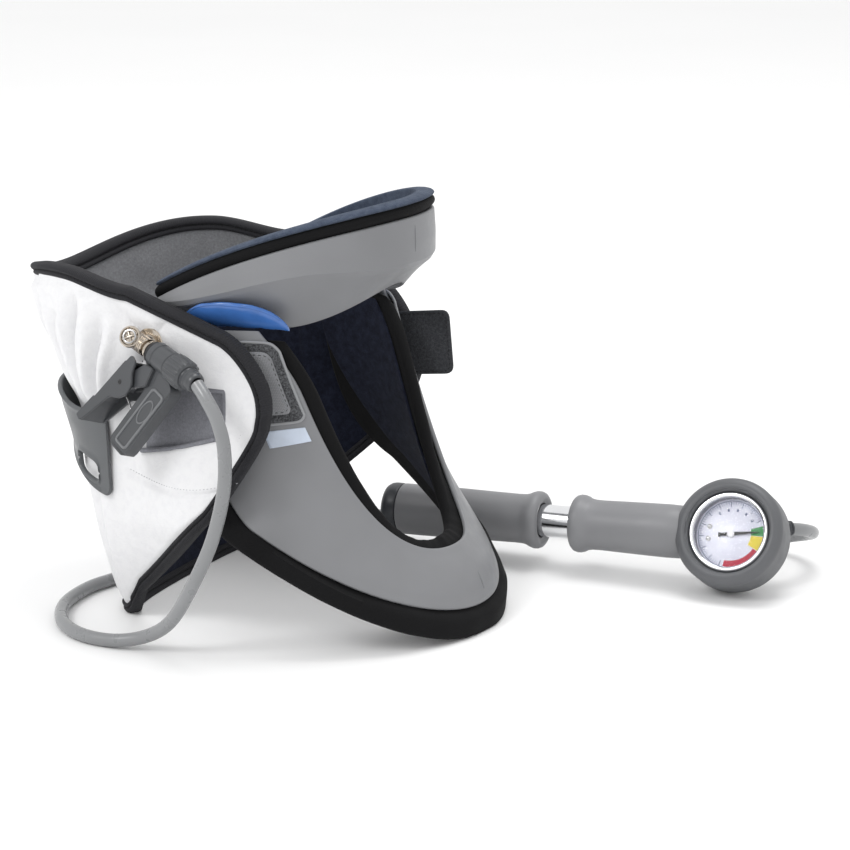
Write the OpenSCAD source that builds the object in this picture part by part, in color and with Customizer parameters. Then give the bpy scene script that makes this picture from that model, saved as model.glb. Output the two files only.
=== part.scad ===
// Pneumatic cervical traction collar with its hand pump.
// Units are millimetres. The neck axis is X = 0, Y = 0 and the collar stands on Z = 0.
// +X points to the chin and the breastbone, +Y to the side where the pump lies, +Z up.

/* [Sternum half] */
// Distance from the neck axis to the throat edge of the shell
throat_reach = 107; // [100:1:112]
// Half width of the throat edge
throat_half_w = 62; // [60:1:64]
// Height of the throat edge at the front
throat_z = 41; // [38:1:46]
// Height that the throat edge climbs to the top of each arm
throat_rise = 110; // [106:1:112]
// Distance from the neck axis to the chest flange
flange_reach = 123; // [120:1:126]
// Half width of the chest flange
flange_half_w = 86; // [84:1:88]
// Height of the chest flange at the front
flange_z = 13; // [12:1:16]
// Wall of the moulded shells
shell_wall = 2.4; // [2:0.2:3]
// Thickness of the sternum foam
foam_wall = 6; // [4:0.5:7]
// How far the foam reaches beyond the chest flange
foam_lip = 12.8; // [11:0.2:13]

/* [Chin half] */
// Distance from the neck axis to the front of the chin band
chin_reach = 88; // [86:1:92]
// Half width of the chin band
chin_half_w = 67; // [65:1:68]
// Height of the chin rim at the front
chin_z = 209; // [204:1:212]
// Drop of the chin rim from the front to behind the ears
chin_drop = 36; // [30:1:40]
// Height of the padding that shows above the grey band
rim_h = 7.6; // [6:0.2:9]

/* [Rear panel] */
// Half width of the panel at the neck
panel_half_w = 76; // [75:1:78]
// Outward step where the flaps lie over the chest flange
flap_step = 17; // [15:1:19]
// Width of the edge binding
binding_w = 5; // [4:0.5:6]
// Thickness of the panel at the flaps
flap_wall = 5; // [5:0.5:6]
// Extra thickness over the rear air cell
cell_room = 8; // [6:0.5:9]

/* [Valve and chuck] */
// Radius of the chuck body
chuck_r = 6.5; // [6:0.1:7]
// Length of the squeeze handles
handle_len = 46; // [42:1:50]
// Radius of the lever pin
pin_r = 1.3; // [1.1:0.1:1.5]

/* [Pump] */
// Heading of the pump from +X
pump_heading = 4; // [3:0.5:5]
// Rise of the pump towards the gauge
pump_tilt = 2.5; // [2:0.5:3]
// Outer radius of the barrel
barrel_r = 8.5; // [8:0.1:8.8]
// Radius of the rubber grips
grip_r = 13.5; // [12.5:0.5:14]
// Radius of the flared rings of the grips
flare_r = 15; // [14.5:0.5:15.5]
// Radius of the piston rod
rod_r = 3; // [2.5:0.5:3.5]

/* [Gauge] */
// Outer radius of the gauge boot
boot_r = 28; // [27:0.5:28]
// Depth of the gauge boot
boot_depth = 28; // [26:1:28]
// Tilt of the dial back from upright
dial_tilt = 30; // [25:1:35]
// Radius of the gauge case
case_r = 19.5; // [19:0.1:20]

/* [Hose] */
// Outer diameter of the air hose
hose_d = 6.5; // [6:0.1:6.8]

/* [Hidden] */
$fn = 48;
eps = 0.01;
gap = 0.3;

// Plan and profile of the sternum half
arm_deg = 67;
flange_deg = 72;
arm_share = 0.7;
flange_rise = 48;
arm_back = [-4, 69, 149];

// Plan of the rear panel
panel_x = -30;
arc_s = 110;
flap_s = 160;
flap_r = 27;
flap_z = 112;

// Valve and chuck
valve_at = [-22, -80, 145];
chuck_turn = [-20, 14.5, -21.8];
lever_pivot = [8.7, 0, -19];
handle_tip = [6, -handle_len - 2];

// Pump, measured from the gauge centre towards the handle
gauge_at = [211, 105, 28];
grip_s = [25, 85];
sleeve_s = [102, 182];
cap_s = 191;
nipple_turn = 42;
nipple_end = 28.9;
barrel_s = [21, 166];
piston_s = 45;

// The air hose, from the chuck to the gauge
hose_route = [
    [21.2, -97.3, 133], [28, -100, 127], [34, -101, 118], [38, -102, 105], [38.5, -104, 86],
    [33, -106, 62], [22, -107, 38], [9, -106, 18], [-6, -105, 7.6], [-23, -108, 3.7],
    [-42, -107, 3.4], [-60, -96, 3.4], [-73, -75, 3.4], [-76, -50, 3.4], [-71, -28, 3.4],
    [-68, 0, 3.4], [-67, 30, 3.4], [-64, 62, 3.4], [-50, 92, 3.4], [-22, 112, 3.4],
    [20, 128, 3.4], [70, 138, 3.4], [125, 149, 3.4], [160, 158, 3.4], [188, 166, 4.2],
    [208, 169.6, 7], [221.3, 168.4, 11], [232.3, 160.7, 16], [238, 148.5, 21.5],
    [236.8, 135.5, 26.5], [231.1, 125.9, 28.9]
];

// ---------------------------------------------------------------- helpers

function lerp(a, b, t) = a + (b - a) * t;
function unit(v) = v / norm(v);
function clamp01(t) = max(0, min(1, t));
function smooth(t) = let (c = clamp01(t)) c * c * (3 - 2 * c);
function bell(v, mid, half) = let (q = clamp01(abs(v - mid) / half)) pow(1 - q * q, 2);
function side(w) = w < 0 ? -1 : 1;
function ring(i, n) = i % n;

function bezier(a, b, c, d, t) =
    pow(1 - t, 3) * a + 3 * t * pow(1 - t, 2) * b + 3 * t * t * (1 - t) * c + pow(t, 3) * d;

// A closed sheet between two grids of points, outer face first.
module sheet(front, back) {
    rows = len(front);
    cols = len(front[0]);
    n = rows * cols;
    polyhedron(
        points = concat([for (r = front) each r], [for (r = back) each r]),
        faces = concat(
            [for (i = [0:rows - 2], j = [0:cols - 2])
                let (a = i * cols + j)
                each [[a, a + cols, a + 1], [a + 1, a + cols, a + cols + 1]]],
            [for (i = [0:rows - 2], j = [0:cols - 2])
                let (a = n + i * cols + j)
                each [[a, a + 1, a + cols], [a + 1, a + cols + 1, a + cols]]],
            [for (j = [0:cols - 2]) each [[j, j + 1, n + j], [j + 1, n + j + 1, n + j]]],
            [for (j = [0:cols - 2])
                let (a = (rows - 1) * cols + j)
                each [[a, n + a, a + 1], [a + 1, n + a, n + a + 1]]],
            [for (i = [0:rows - 2])
                let (a = i * cols)
                each [[a, n + a, a + cols], [a + cols, n + a, n + a + cols]]],
            [for (i = [0:rows - 2])
                let (a = (i + 1) * cols - 1)
                each [[a, a + cols, n + a], [a + cols, n + a + cols, n + a]]]));
}

// A closed tube through a list of closed sections, with flat ends.
module loft(sections) {
    m = len(sections[0]);
    last = (len(sections) - 1) * m;
    polyhedron(
        points = [for (s = sections) each s],
        faces = concat(
            [for (i = [0:len(sections) - 2], j = [0:m - 1])
                let (a = i * m + j, b = i * m + ring(j + 1, m))
                each [[a, b, a + m], [b, b + m, a + m]]],
            [[for (j = [m - 1:-1:0]) j]],
            [[for (j = [0:m - 1]) last + j]]));
}

// ---------------------------------------------------------------- sternum surface

// w runs from -1 at the near arm to 1 at the far arm, t from 0 at the throat to 1 at the flange.
function throat_edge(u, s) =
    let (deg = arm_deg * u)
    [throat_reach * cos(deg), s * throat_half_w * sin(deg),
     throat_z + throat_rise * pow(u, 3.2)];

function flange_start(deg, s) =
    [flange_reach * cos(deg), s * flange_half_w * sin(deg),
     flange_z + flange_rise * pow(deg / flange_deg, 2.1)];

function flange_edge(u, s) =
    u <= arm_share ? flange_start(flange_deg * u / arm_share, s) :
    let (a = flange_start(flange_deg, s))
    bezier(a, [a.x - 20, a.y - s * 2, a.z + 14], [arm_back.x - 1, s * 66, 118],
           [arm_back.x, s * arm_back.y, arm_back.z], (u - arm_share) / (1 - arm_share));

function sternum_raw(w, t) =
    let (p = lerp(throat_edge(abs(w), side(w)), flange_edge(abs(w), side(w)), t))
    p + 3 * 4 * t * (1 - t) * unit([p.x, 1.8 * p.y, 40]);

function sternum_normal(w, t) =
    let (e = 0.01,
         c = max(-1 + e, min(1 - e, w)),
         a = sternum_raw(c + e, t) - sternum_raw(c - e, t),
         b = sternum_raw(w, t + e) - sternum_raw(w, t - e))
    unit(cross(b, a));

function sternum_at(w, t, off) = sternum_raw(w, t) + off * sternum_normal(w, t);

function ruling(w) = norm(flange_edge(abs(w), side(w)) - throat_edge(abs(w), side(w)));

// Rounds the corners at the top of each arm.
function arm_corner(w) = 0.2 * pow(clamp01((abs(w) - 0.9) / 0.1), 2);

function sternum_grid(w0, w1, nw, nt, before, after, off) =
    [for (i = [0:nw])
        let (w = lerp(w0, w1, i / nw),
             t0 = arm_corner(w) - before / ruling(w),
             t1 = 1 - arm_corner(w) + after * (1 - smooth((abs(w) - 0.75) / 0.2)) / ruling(w))
        [for (j = [0:nt]) sternum_at(w, lerp(t0, t1, j / nt), off)]];

module sternum_layer(reach, before, after, outer, inner) {
    sheet(sternum_grid(-reach, reach, 44, 5, before, after, outer),
          sternum_grid(-reach, reach, 44, 5, before, after, inner));
}

module sternum_shell() {
    color("#8f9193")
    sternum_layer(1, 0, 0, 0, -shell_wall);
}

module sternum_foam() {
    color("#1c1c1e")
    sternum_layer(0.985, 8, foam_lip, -shell_wall - 0.2, -shell_wall - foam_wall);
}

module sternum_lining() {
    color("#252b3f")
    sternum_layer(0.98, 1, -6, -shell_wall - foam_wall - 0.4, -shell_wall - foam_wall - 1.6);
}

// A patch laid on the outside of an arm.
module arm_patch(w0, w1, t0, t1, low, high) {
    n = 6;
    function grid(off) =
        [for (i = [0:n])
            [for (j = [0:n])
                let (a = i / n, b = j / n,
                     round_a = 0.10 * pow(abs(2 * b - 1), 6) * (1 - 2 * a),
                     w = lerp(w0, w1, a + round_a))
                sternum_at(w, lerp(t0, t1, b), off)]];
    sheet(grid(high), grid(low));
}

module loop_patches() {
    color("#55575a") {
        arm_patch(-0.985, -0.86, 0.06, 0.50, 0.1, 1.3);
        arm_patch(0.86, 0.985, 0.06, 0.50, 0.1, 1.3);
    }
}

module hook_patch() {
    color("#8e9093")
    arm_patch(-0.972, -0.875, 0.15, 0.42, 1.4, 2.6);
}

module blank_label() {
    color("#c9d0dc")
    arm_patch(-0.85, -0.822, 0.10, 0.46, 0.1, 0.5);
}

module strap_tab() {
    color("#4c4e52")
    translate([36, 69.2, 100])
    rotate([90, 0, 0])
    linear_extrude(height = 1.8)
    polygon([for (c = [[8, 4, -90], [32, 8, -90], [29, 35, 0], [-1, 30, 90]])
        for (a = [0:15:90]) [c.x + 3 * cos(c.z + a), c.y + 3 * sin(c.z + a)]]);
}

// ---------------------------------------------------------------- chin half

chin_deg = 105;

function rim_z(deg) = chin_z - chin_drop * pow(abs(deg) / 100, 2.3);
function crease_z(deg) = min(178 - 19 * smooth((abs(deg) - 45) / 65), rim_z(deg) - rim_h - 2);
function web_z(deg) = 165 - 15.5 * smooth(abs(deg) / 62) + 4 * smooth((abs(deg) - 65) / 40);

// Profile rows from the rim down the band, over the crease and along the web:
// [reach, half width, height, inward share, upward share].
function chin_rows(deg) = [
    [chin_reach, chin_half_w, rim_z(deg), 1, 0],
    [chin_reach, chin_half_w, rim_z(deg) - rim_h, 1, 0],
    [chin_reach + 0.6, chin_half_w + 1.4, lerp(rim_z(deg) - rim_h, crease_z(deg), 0.5), 1, 0],
    [chin_reach + 0.4, chin_half_w + 2, crease_z(deg) + 1.5, 1, 0.2],
    [chin_reach - 1.2, chin_half_w + 0.6, crease_z(deg) - 1.2, 0.8, 0.6],
    [chin_reach - 9, chin_half_w - 6.4, lerp(crease_z(deg), web_z(deg), 0.55), 0.66, 0.75],
    [chin_reach - 16, chin_half_w - 12, web_z(deg), 0.63, 0.78]
];

function chin_at(deg, row, off) =
    [(row[0] - off * row[3]) * cos(deg), (row[1] - off * row[3]) * sin(deg), row[2] + off * row[4]];

function chin_grid(rows, off, deg = chin_deg) =
    [for (i = [0:42])
        let (a = lerp(-deg, deg, i / 42), all = chin_rows(a))
        [for (r = rows) chin_at(a, all[r], off)]];

module chin_shell() {
    color("#8f9193")
    sheet(chin_grid([1, 2, 3, 4, 5, 6], 0), chin_grid([1, 2, 3, 4, 5, 6], shell_wall));
}

module chin_foam() {
    color("#1c1c1e")
    sheet(chin_grid([0, 1, 2, 4, 5, 6], shell_wall + 0.2), chin_grid([0, 1, 2, 4, 5, 6], 7.5));
}

module chin_lining() {
    color("#2f3b57")
    sheet(chin_grid([0, 1, 2, 4, 5, 6], 7.7), chin_grid([0, 1, 2, 4, 5, 6], 9));
}

// ---------------------------------------------------------------- side air cells

module side_air_cell(s) {
    stations = 13;
    m = 12;
    mid = 21;
    half = 25;
    loft([for (i = [0:stations - 1])
        let (q = -0.97 + 1.94 * i / (stations - 1),
             k = sqrt(1 - pow(abs(q), 2.6)),
             x = mid + half * q,
             out = 67 - 0.2 * x)
        [for (j = [0:m - 1])
            let (a = -s * 360 * j / m,
                 y = out + 3.3 * k * cos(a),
                 z = 151.4 + 7 * k + 6.8 * k * sin(a))
            [x, s * (y + 0.6 * (z - 158)), z]]]);
}

module side_air_cell_left() {
    color("#2f62b5")
    side_air_cell(1);
}

module side_air_cell_right() {
    color("#2f62b5")
    side_air_cell(-1);
}

// ---------------------------------------------------------------- rear panel

// s runs round the panel from 0 at the nape to the tip of each flap; z is the height.
function nape_reach(z) = 22 + 0.36 * z + 0.0004 * z * z - 7 * bell(z, 108, 34);
function panel_w(x, z) =
    panel_half_w - 10 * pow(clamp01(1 - z / 60), 2)
    + flap_step * bell(z, 68, 62) * smooth((x + 42) / 62);
function square(z) = 0.34 * clamp01(1 - z / 130);

function panel_raw(s, z) =
    let (q = abs(s) / arc_s, k = square(z))
    q < 1 ?
        let (c = cos(90 * q), d = sin(90 * q),
             x = panel_x - nape_reach(z) * c * (1 + k * d * d))
        [x, side(s) * panel_w(x, z) * d * (1 + k * c * c), z] :
        let (x = panel_x + abs(s) - arc_s)
        [x, side(s) * panel_w(x, z), z];

function panel_normal(s, z) =
    let (e = 0.5,
         a = panel_raw(s + e, z) - panel_raw(s - e, z),
         b = panel_raw(s, z + e) - panel_raw(s, z - e))
    unit(cross(b, a));

function panel_at(s, z, off) =
    let (n = panel_normal(s, z), p = panel_raw(s, z) + off * n)
    [p.x, p.y, z];

function edge_top(s) =
    158 + 15 * smooth(abs(s) / 80) - 5 * smooth((abs(s) - 80) / 30)
    - 0.32 * max(0, abs(s) - arc_s);
function edge_low(s) =
    abs(s) < 75 ? 0 :
    abs(s) < 111 ? 0.0131 * pow(abs(s) - 75, 2) :
    17 + 0.94 * (abs(s) - 111);

// c counts columns from the nape; the last ones close the rounded end of a flap.
col_step = 8;
flat_cols = flap_s / col_step;
end_cols = 6;
cols = flat_cols + end_cols;
function end_deg(c) = 82 * (abs(c) - flat_cols) / end_cols;
function col_s(c, inset) =
    abs(c) <= flat_cols ? c * col_step :
    side(c) * (flap_s + (flap_r - inset) * sin(end_deg(c)));
function end_share(c) = abs(c) <= flat_cols ? 1 : cos(end_deg(c));
function col_top(c, inset) =
    flap_z + (edge_top(col_s(c, 0)) - flap_z - 1.1 * inset) * end_share(c);
function col_low(c, inset) =
    let (low = edge_low(col_s(c, 0)))
    flap_z - (flap_z - low - (low > 5 ? 1.3 : 1) * inset) * end_share(c);

// Height of the seam where the upper rear panel lifts away from the lower one.
lift_cols = 12;
function lift_seam(s) = 118 + 51 * pow(abs(s) / 108, 2.6);

// Thickness of the panel, fuller over the rear air cell.
function panel_wall(s, z) = flap_wall + cell_room * bell(s, 0, 88) * bell(z, 86, 62);

// One layer of the panel between two depths, given as shares of its thickness and as walls.
function lower_grid(depth) =
    [for (c = [-cols:cols])
        let (s = col_s(c, binding_w),
             low = col_low(c, binding_w),
             rim = col_top(c, binding_w),
             top = abs(c) <= lift_cols + 1 ? min(rim, lift_seam(s) - gap) : rim)
        [for (j = [0:6]) let (z = lerp(low, top, j / 6)) panel_at(s, z, depth_at(depth, s, z))]];
function upper_grid(depth) =
    [for (c = [-lift_cols:lift_cols])
        let (s = col_s(c, binding_w),
             low = lift_seam(s) + gap,
             top = max(low + 2, col_top(c, binding_w)))
        [for (j = [0:3]) let (z = lerp(low, top, j / 3)) panel_at(s, z, depth_at(depth, s, z))]];
function depth_at(depth, s, z) = depth[0] * panel_wall(s, z) + depth[1];

cover_out = [0, 0];
cover_in = [0, -2.2];
liner_out = [-1, 2.5];
liner_in = [-1, 0];

module rear_cover_lower() {
    color("#ececee")
    sheet(lower_grid(cover_out), lower_grid(cover_in));
}

module rear_cover_upper() {
    color("#ececee")
    sheet(upper_grid(cover_out), upper_grid(cover_in));
}

module nape_lining_lower() {
    color("#77797c")
    sheet(lower_grid(liner_out), lower_grid(liner_in));
}

module nape_lining_upper() {
    color("#77797c")
    sheet(upper_grid(liner_out), upper_grid(liner_in));
}

// The binding wraps the edge: a rounded strip from the edge to the inset line.
function binding_section(s0, z0, s1, z1) =
    let (t = panel_wall(s1, z1))
    [panel_at(s1, z1, 0.5), panel_at(lerp(s0, s1, 0.3), lerp(z0, z1, 0.3), 0.7),
     panel_at(s0, z0, -1.2), panel_at(s0, z0, -t + 1.2),
     panel_at(lerp(s0, s1, 0.3), lerp(z0, z1, 0.3), -t - 0.7), panel_at(s1, z1, -t - 0.5)];
function top_section(c) =
    binding_section(col_s(c, 0), col_top(c, 0), col_s(c, binding_w - 0.2), col_top(c, binding_w - 0.2));
function low_section(c) =
    binding_section(col_s(c, 0), col_low(c, 0), col_s(c, binding_w - 0.2), col_low(c, binding_w - 0.2));

module rear_binding_lower() {
    first = lift_cols + 1;
    color("#2a2a2d")
    loft(concat(
        [for (c = [-first:-1:-cols]) top_section(c)],
        [for (c = [-cols:cols]) low_section(c)],
        [for (c = [cols:-1:first]) top_section(c)]));
}

module rear_binding_upper() {
    last = lift_cols + 0.9;
    color("#2a2a2d")
    loft([for (i = [25:-1:0]) top_section(lerp(-last, last, i / 25))]);
}

module rear_air_cell() {
    n = 10;
    function face(k) =
        [for (i = [0:n * 2])
            [for (j = [0:n])
                let (s = lerp(-74, 74, i / (2 * n)), z = lerp(42, 112, j / n),
                     puff = bell(s, 0, 78) * bell(z, 77, 40),
                     mid = -(panel_wall(s, z) + 0.0) / 2 + 0.15,
                     half = max(0.25, (panel_wall(s, z) - 5.6) / 2) * (0.3 + 0.7 * puff))
                panel_at(s, z, mid + k * half)]];
    color("#2f62b5")
    sheet(face(1), face(-1));
}

module rear_strap() {
    function rise(s) = 1 + 7 * bell(abs(s), 56, 50);
    function face(extra) =
        [for (i = [0:30])
            [for (j = [0:4])
                let (s = lerp(-96, 96, i / 30),
                     half = 13 + 10 * pow(abs(s) / 96, 2),
                     z = 92 + (j - 2) / 2 * half)
                panel_at(s, z, rise(s) + extra)]];
    color("#7d8084")
    sheet(face(1.8), face(0));
}

// ---------------------------------------------------------------- valve and chuck

module at_valve() {
    translate(valve_at)
    rotate(chuck_turn)
    children();
}

// A round bar along local X.
module bar(r, x0, x1) {
    translate([x0, 0, 0])
    rotate([0, 90, 0])
    cylinder(r = r, h = x1 - x0);
}

module valve_stem() {
    color("#b9b3a6")
    difference() {
        union() {
            at_valve() {
                bar(4.6, 0, 9);
                bar(3.4, 8, 16);
                bar(4.4, 10, 11.5);
            }
            translate([valve_at.x + 5, -76.4, valve_at.z - 1])
            rotate([90, 0, 0]) {
                cylinder(r = 7, h = 1);
                cylinder(r = 3, h = 5.5);
            }
        }
        at_valve()
        bar(2.65, -1, 14);
    }
}

module valve_core() {
    color("#d8d4c8")
    at_valve()
    difference() {
        union() {
            bar(2.6, 0.6, 9);
            bar(1.2, 8.9, 12.5);
        }
        translate([0, -0.4, -3])
        cube([1.6, 0.8, 6]);
    }
}

// A plate in the plane of the two handles: the outline is in local X and Z.
module side_plate(outline, y0, y1) {
    translate([0, y1, 0])
    rotate([90, 0, 0])
    linear_extrude(height = y1 - y0)
    polygon(outline);
}

handle_outline = [
    [17, -2], [28, -2], [38, -9], [38.5, -11], [20.4 + handle_tip.x, handle_tip.y],
    [18.4 + handle_tip.x, handle_tip.y - 1.5], [8 + handle_tip.x, handle_tip.y + 0.5],
    [7 + handle_tip.x, handle_tip.y + 3], [21.5, -16], [17, -12]
];
handle_panel = [
    [27.5, -11.5], [35, -13.5], [17.5 + handle_tip.x, handle_tip.y + 1.5],
    [10 + handle_tip.x, handle_tip.y + 3.5]
];

module chuck_body() {
    color("#77797d")
    at_valve()
    difference() {
        union() {
            bar(chuck_r, 15.5, 29);
            translate([16, -3.6, -12])
            cube([10, 7.2, 9]);
            for (y = [-5.6, 3.2])
                hull() {
                    translate([lever_pivot.x, y, lever_pivot.z])
                    rotate([-90, 0, 0])
                    cylinder(r = 3.6, h = 2.4, $fn = 32);
                    translate([17, y, -14])
                    cube([6, 2.4, 9]);
                }
            difference() {
                side_plate(handle_outline, -3.5, 3.5);
                side_plate(handle_panel, -5, -2.3);
            }
        }
        bar(7.3, 29, 50);
        bar(3.6, 14, 20);
        bar(2.4, 19, 32);
        translate([lever_pivot.x, -8, lever_pivot.z])
        rotate([-90, 0, 0])
        cylinder(r = pin_r + 0.03, h = 16);
    }
}

module chuck_gasket() {
    color("#1c1c1e")
    at_valve()
    difference() {
        bar(5.6, 13.2, 15.4);
        bar(3.5, 12, 17);
    }
}

module chuck_lever() {
    color("#77797d")
    at_valve()
    translate(lever_pivot)
    rotate([0, 22.7, 0])
    difference() {
        union() {
            translate([-4.5, -2.9, -31])
            cube([3, 5.8, 38]);
            translate([-4.5, -2.9, -4])
            cube([7, 5.8, 8]);
            translate([-4.5, -6.5, -31])
            cube([3, 13, 20]);
            translate([-2.5, -6.5, -31])
            cube([9, 1.6, 17]);
            translate([-2.5, 4.9, -31])
            cube([9, 1.6, 17]);
        }
        translate([0, -8, 0])
        rotate([-90, 0, 0])
        cylinder(r = pin_r + 0.06, h = 16);
    }
}

module lever_pin() {
    color("#c8c9cb")
    at_valve()
    translate([lever_pivot.x, -6, lever_pivot.z])
    rotate([-90, 0, 0])
    cylinder(r = pin_r, h = 12);
}

// A bent wire: one coil round the pin and a leg to the fixed handle.
module lever_spring() {
    color("#c8c9cb")
    at_valve()
    translate([11.5, 0, -27])
    rotate([0, -52, 0])
    rotate([0, 90, 0])
    cylinder(r = 0.5, h = 8.5, $fn = 16);
}

module hose_nut() {
    color("#77797d")
    at_valve()
    difference() {
        union() {
            bar(7, 29.1, 41);
            bar(5, 41 - eps, 48);
            for (a = [0:30:330])
                rotate([a, 0, 0])
                translate([30, 0, 6.8])
                rotate([0, 90, 0])
                cylinder(r = 0.7, h = 10, $fn = 16);
        }
        bar(2.4, 28, 47);
    }
}

// ---------------------------------------------------------------- air hose

function catmull(a, b, c, d, t) =
    0.5 * (2 * b + (c - a) * t + (2 * a - 5 * b + 4 * c - d) * t * t
           + (3 * b - a - 3 * c + d) * t * t * t);
function route_at(i, t) =
    let (n = len(hose_route))
    catmull(hose_route[max(0, i - 1)], hose_route[i], hose_route[min(n - 1, i + 1)],
            hose_route[min(n - 1, i + 2)], t);
hose_line = concat(
    [for (i = [0:len(hose_route) - 2], k = [0, 0.5]) route_at(i, k)],
    [hose_route[len(hose_route) - 1]]);
function hose_dir(i) =
    unit(hose_line[min(len(hose_line) - 1, i + 1)] - hose_line[max(0, i - 1)]);
function hose_side(i) =
    let (d = hose_dir(i), ref = abs(d.z) > 0.8 ? [0, -1, 0] : [0, 0, 1])
    unit(ref - d * (ref * d));

// Carries one side vector along the line, so that the tube doesn't twist.
function hose_frames(i, v) =
    i >= len(hose_line) ? [] :
    let (d = hose_dir(i), side_v = unit(v - d * (v * d)))
    concat([[side_v, cross(d, side_v)]], hose_frames(i + 1, side_v));

module air_hose() {
    m = 10;
    frames = hose_frames(0, hose_side(0));
    color("#9a9c9e")
    loft([for (i = [0:len(hose_line) - 1])
        [for (j = [0:m - 1])
            let (a = -360 * j / m, f = frames[i])
            hose_line[i] + hose_d / 2 * (cos(a) * f[0] + sin(a) * f[1])]]);
}

// ---------------------------------------------------------------- pump

module at_pump() {
    translate(gauge_at)
    rotate([0, -pump_tilt, pump_heading])
    children();
}

// A turned sleeve on the pump axis: outline points are [distance from the gauge, radius].
module turned(outline) {
    rotate([0, -90, 0])
    rotate_extrude()
    polygon([for (p = outline) [p[1], p[0]]]);
}

module pump_barrel() {
    color("#d4d6da")
    at_pump()
    difference() {
        bar(barrel_r, -barrel_s[1], -barrel_s[0]);
        bar(barrel_r - 1.2, -barrel_s[1] - 1, -barrel_s[0] + 1);
    }
}

module barrel_bush() {
    color("#2a2a2d")
    at_pump()
    difference() {
        union() {
            bar(barrel_r - 1.25, -barrel_s[1] + 0.5, -barrel_s[1] + 8);
            bar(barrel_r, -barrel_s[1] - 1.5, -barrel_s[1] - 0.05);
            bar(barrel_r - 1.5, -barrel_s[1] - 1, -barrel_s[1] + 1);
        }
        bar(rod_r + 0.05, -barrel_s[1] - 3, -barrel_s[1] + 10);
    }
}

module barrel_plug() {
    color("#2a2a2d")
    at_pump()
    difference() {
        bar(barrel_r - 1.25, -barrel_s[0] - 7, -barrel_s[0]);
        bar(1.2, -barrel_s[0] - 8, -barrel_s[0] + 1);
    }
}

module barrel_grip() {
    a = grip_s[0];
    b = grip_s[1];
    color("#7d8084")
    at_pump()
    turned([[a, barrel_r + 0.1], [a, grip_r - 1], [a + 2, grip_r], [b - 13, grip_r - 0.6],
            [b - 9, grip_r - 0.2], [b - 6, flare_r - 0.4], [b - 3, flare_r], [b - 1, flare_r - 0.8],
            [b, flare_r - 2.4], [b, barrel_r + 0.1]]);
}

module handle_sleeve() {
    a = sleeve_s[0];
    b = sleeve_s[1];
    color("#7d8084")
    at_pump()
    turned([[a, barrel_r + 3.4], [a, flare_r - 2.2], [a + 1.2, flare_r - 0.6], [a + 3, flare_r],
            [a + 6, flare_r - 0.4], [a + 9, grip_r - 0.2], [a + 13, grip_r - 0.6], [b, grip_r],
            [b, barrel_r + 0.5], [a + 4, barrel_r + 0.5]]);
}

module handle_cap() {
    color("#6b6e72")
    at_pump()
    difference() {
        turned([[sleeve_s[1] + 0.1, 0], [sleeve_s[1] + 0.1, grip_r], [cap_s - 3, grip_r],
                [cap_s - 0.8, grip_r - 1], [cap_s, grip_r - 3], [cap_s, 0]]);
        bar(rod_r + 0.02, -cap_s + 4, -sleeve_s[1] + 1);
    }
}

module piston_rod() {
    color("#c8c9cb")
    at_pump()
    bar(rod_r, -cap_s + 4.1, -piston_s);
}

module piston_head() {
    color("#2a2a2d")
    at_pump()
    difference() {
        bar(barrel_r - 1.5, -piston_s - 8, -piston_s + 1);
        bar(rod_r + 0.02, -piston_s - 9, -piston_s + eps);
        difference() {
            bar(barrel_r + 1, -piston_s - 5, -piston_s - 2.6);
            bar(barrel_r - 3, -piston_s - 6, -piston_s - 2);
        }
    }
}

module piston_seal() {
    color("#1c1c1e")
    at_pump()
    difference() {
        bar(barrel_r - 1.27, -piston_s - 4.9, -piston_s - 2.7);
        bar(barrel_r - 2.9, -piston_s - 6, -piston_s - 2);
    }
}

// ---------------------------------------------------------------- gauge

module at_gauge() {
    at_pump()
    rotate([90 - dial_tilt, 0, 0])
    children();
}

module gauge_boot() {
    color("#77797d")
    difference() {
        at_gauge()
        rotate_extrude($fn = 72)
        polygon(concat(
            [[0, -boot_depth / 2]],
            [for (a = [-90:15:0]) [boot_r - 10 + 10 * cos(a), -boot_depth / 2 + 10 + 10 * sin(a)]],
            [for (a = [0:15:90]) [boot_r - 5 + 5 * cos(a), boot_depth / 2 - 5 + 5 * sin(a)]],
            [[case_r + 1.4, boot_depth / 2 - 3.5], [case_r + 1.4, boot_depth / 2 - 5.5],
             [case_r + 0.1, boot_depth / 2 - 5.5], [case_r + 0.1, -boot_depth / 2 + 3],
             [0, -boot_depth / 2 + 3]]));
        at_pump() {
            bar(grip_r + 0.2, -boot_r - 5, -grip_s[0] + 0.4);
            bar(barrel_r + 0.1, -boot_r, -case_r + 2);
            rotate([0, 0, nipple_turn])
            bar(2.9, case_r - 4, boot_r + 2);
        }
    }
}

module gauge_case() {
    color("#b4b7bb")
    difference() {
        at_gauge()
        difference() {
            translate([0, 0, -boot_depth / 2 + 3.1])
            cylinder(r = case_r, h = 19.5, $fn = 72);
            translate([0, 0, -boot_depth / 2 + 4.4])
            cylinder(r = case_r - 1.2, h = 25, $fn = 72);
        }
        at_pump() {
            bar(1.2, -case_r - 2, -case_r + 4);
            rotate([0, 0, nipple_turn])
            bar(2.9, case_r - 4, case_r + 6);
        }
    }
}

module gauge_movement() {
    color("#c7a45a")
    at_gauge()
    difference() {
        union() {
            translate([0, 0, -7])
            cylinder(r = 6, h = 8);
            translate([0, 0, -7])
            difference() {
                cylinder(r = 14, h = 3);
                translate([0, 0, -1])
                cylinder(r = 11.5, h = 5);
                translate([0, -20, -1])
                cube([20, 20, 5]);
            }
            translate([-14, -1.2, -7])
            cube([10, 2.4, 3]);
        }
        translate([0, 0, -3])
        cylinder(r = 0.9, h = 6);
    }
}

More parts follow.
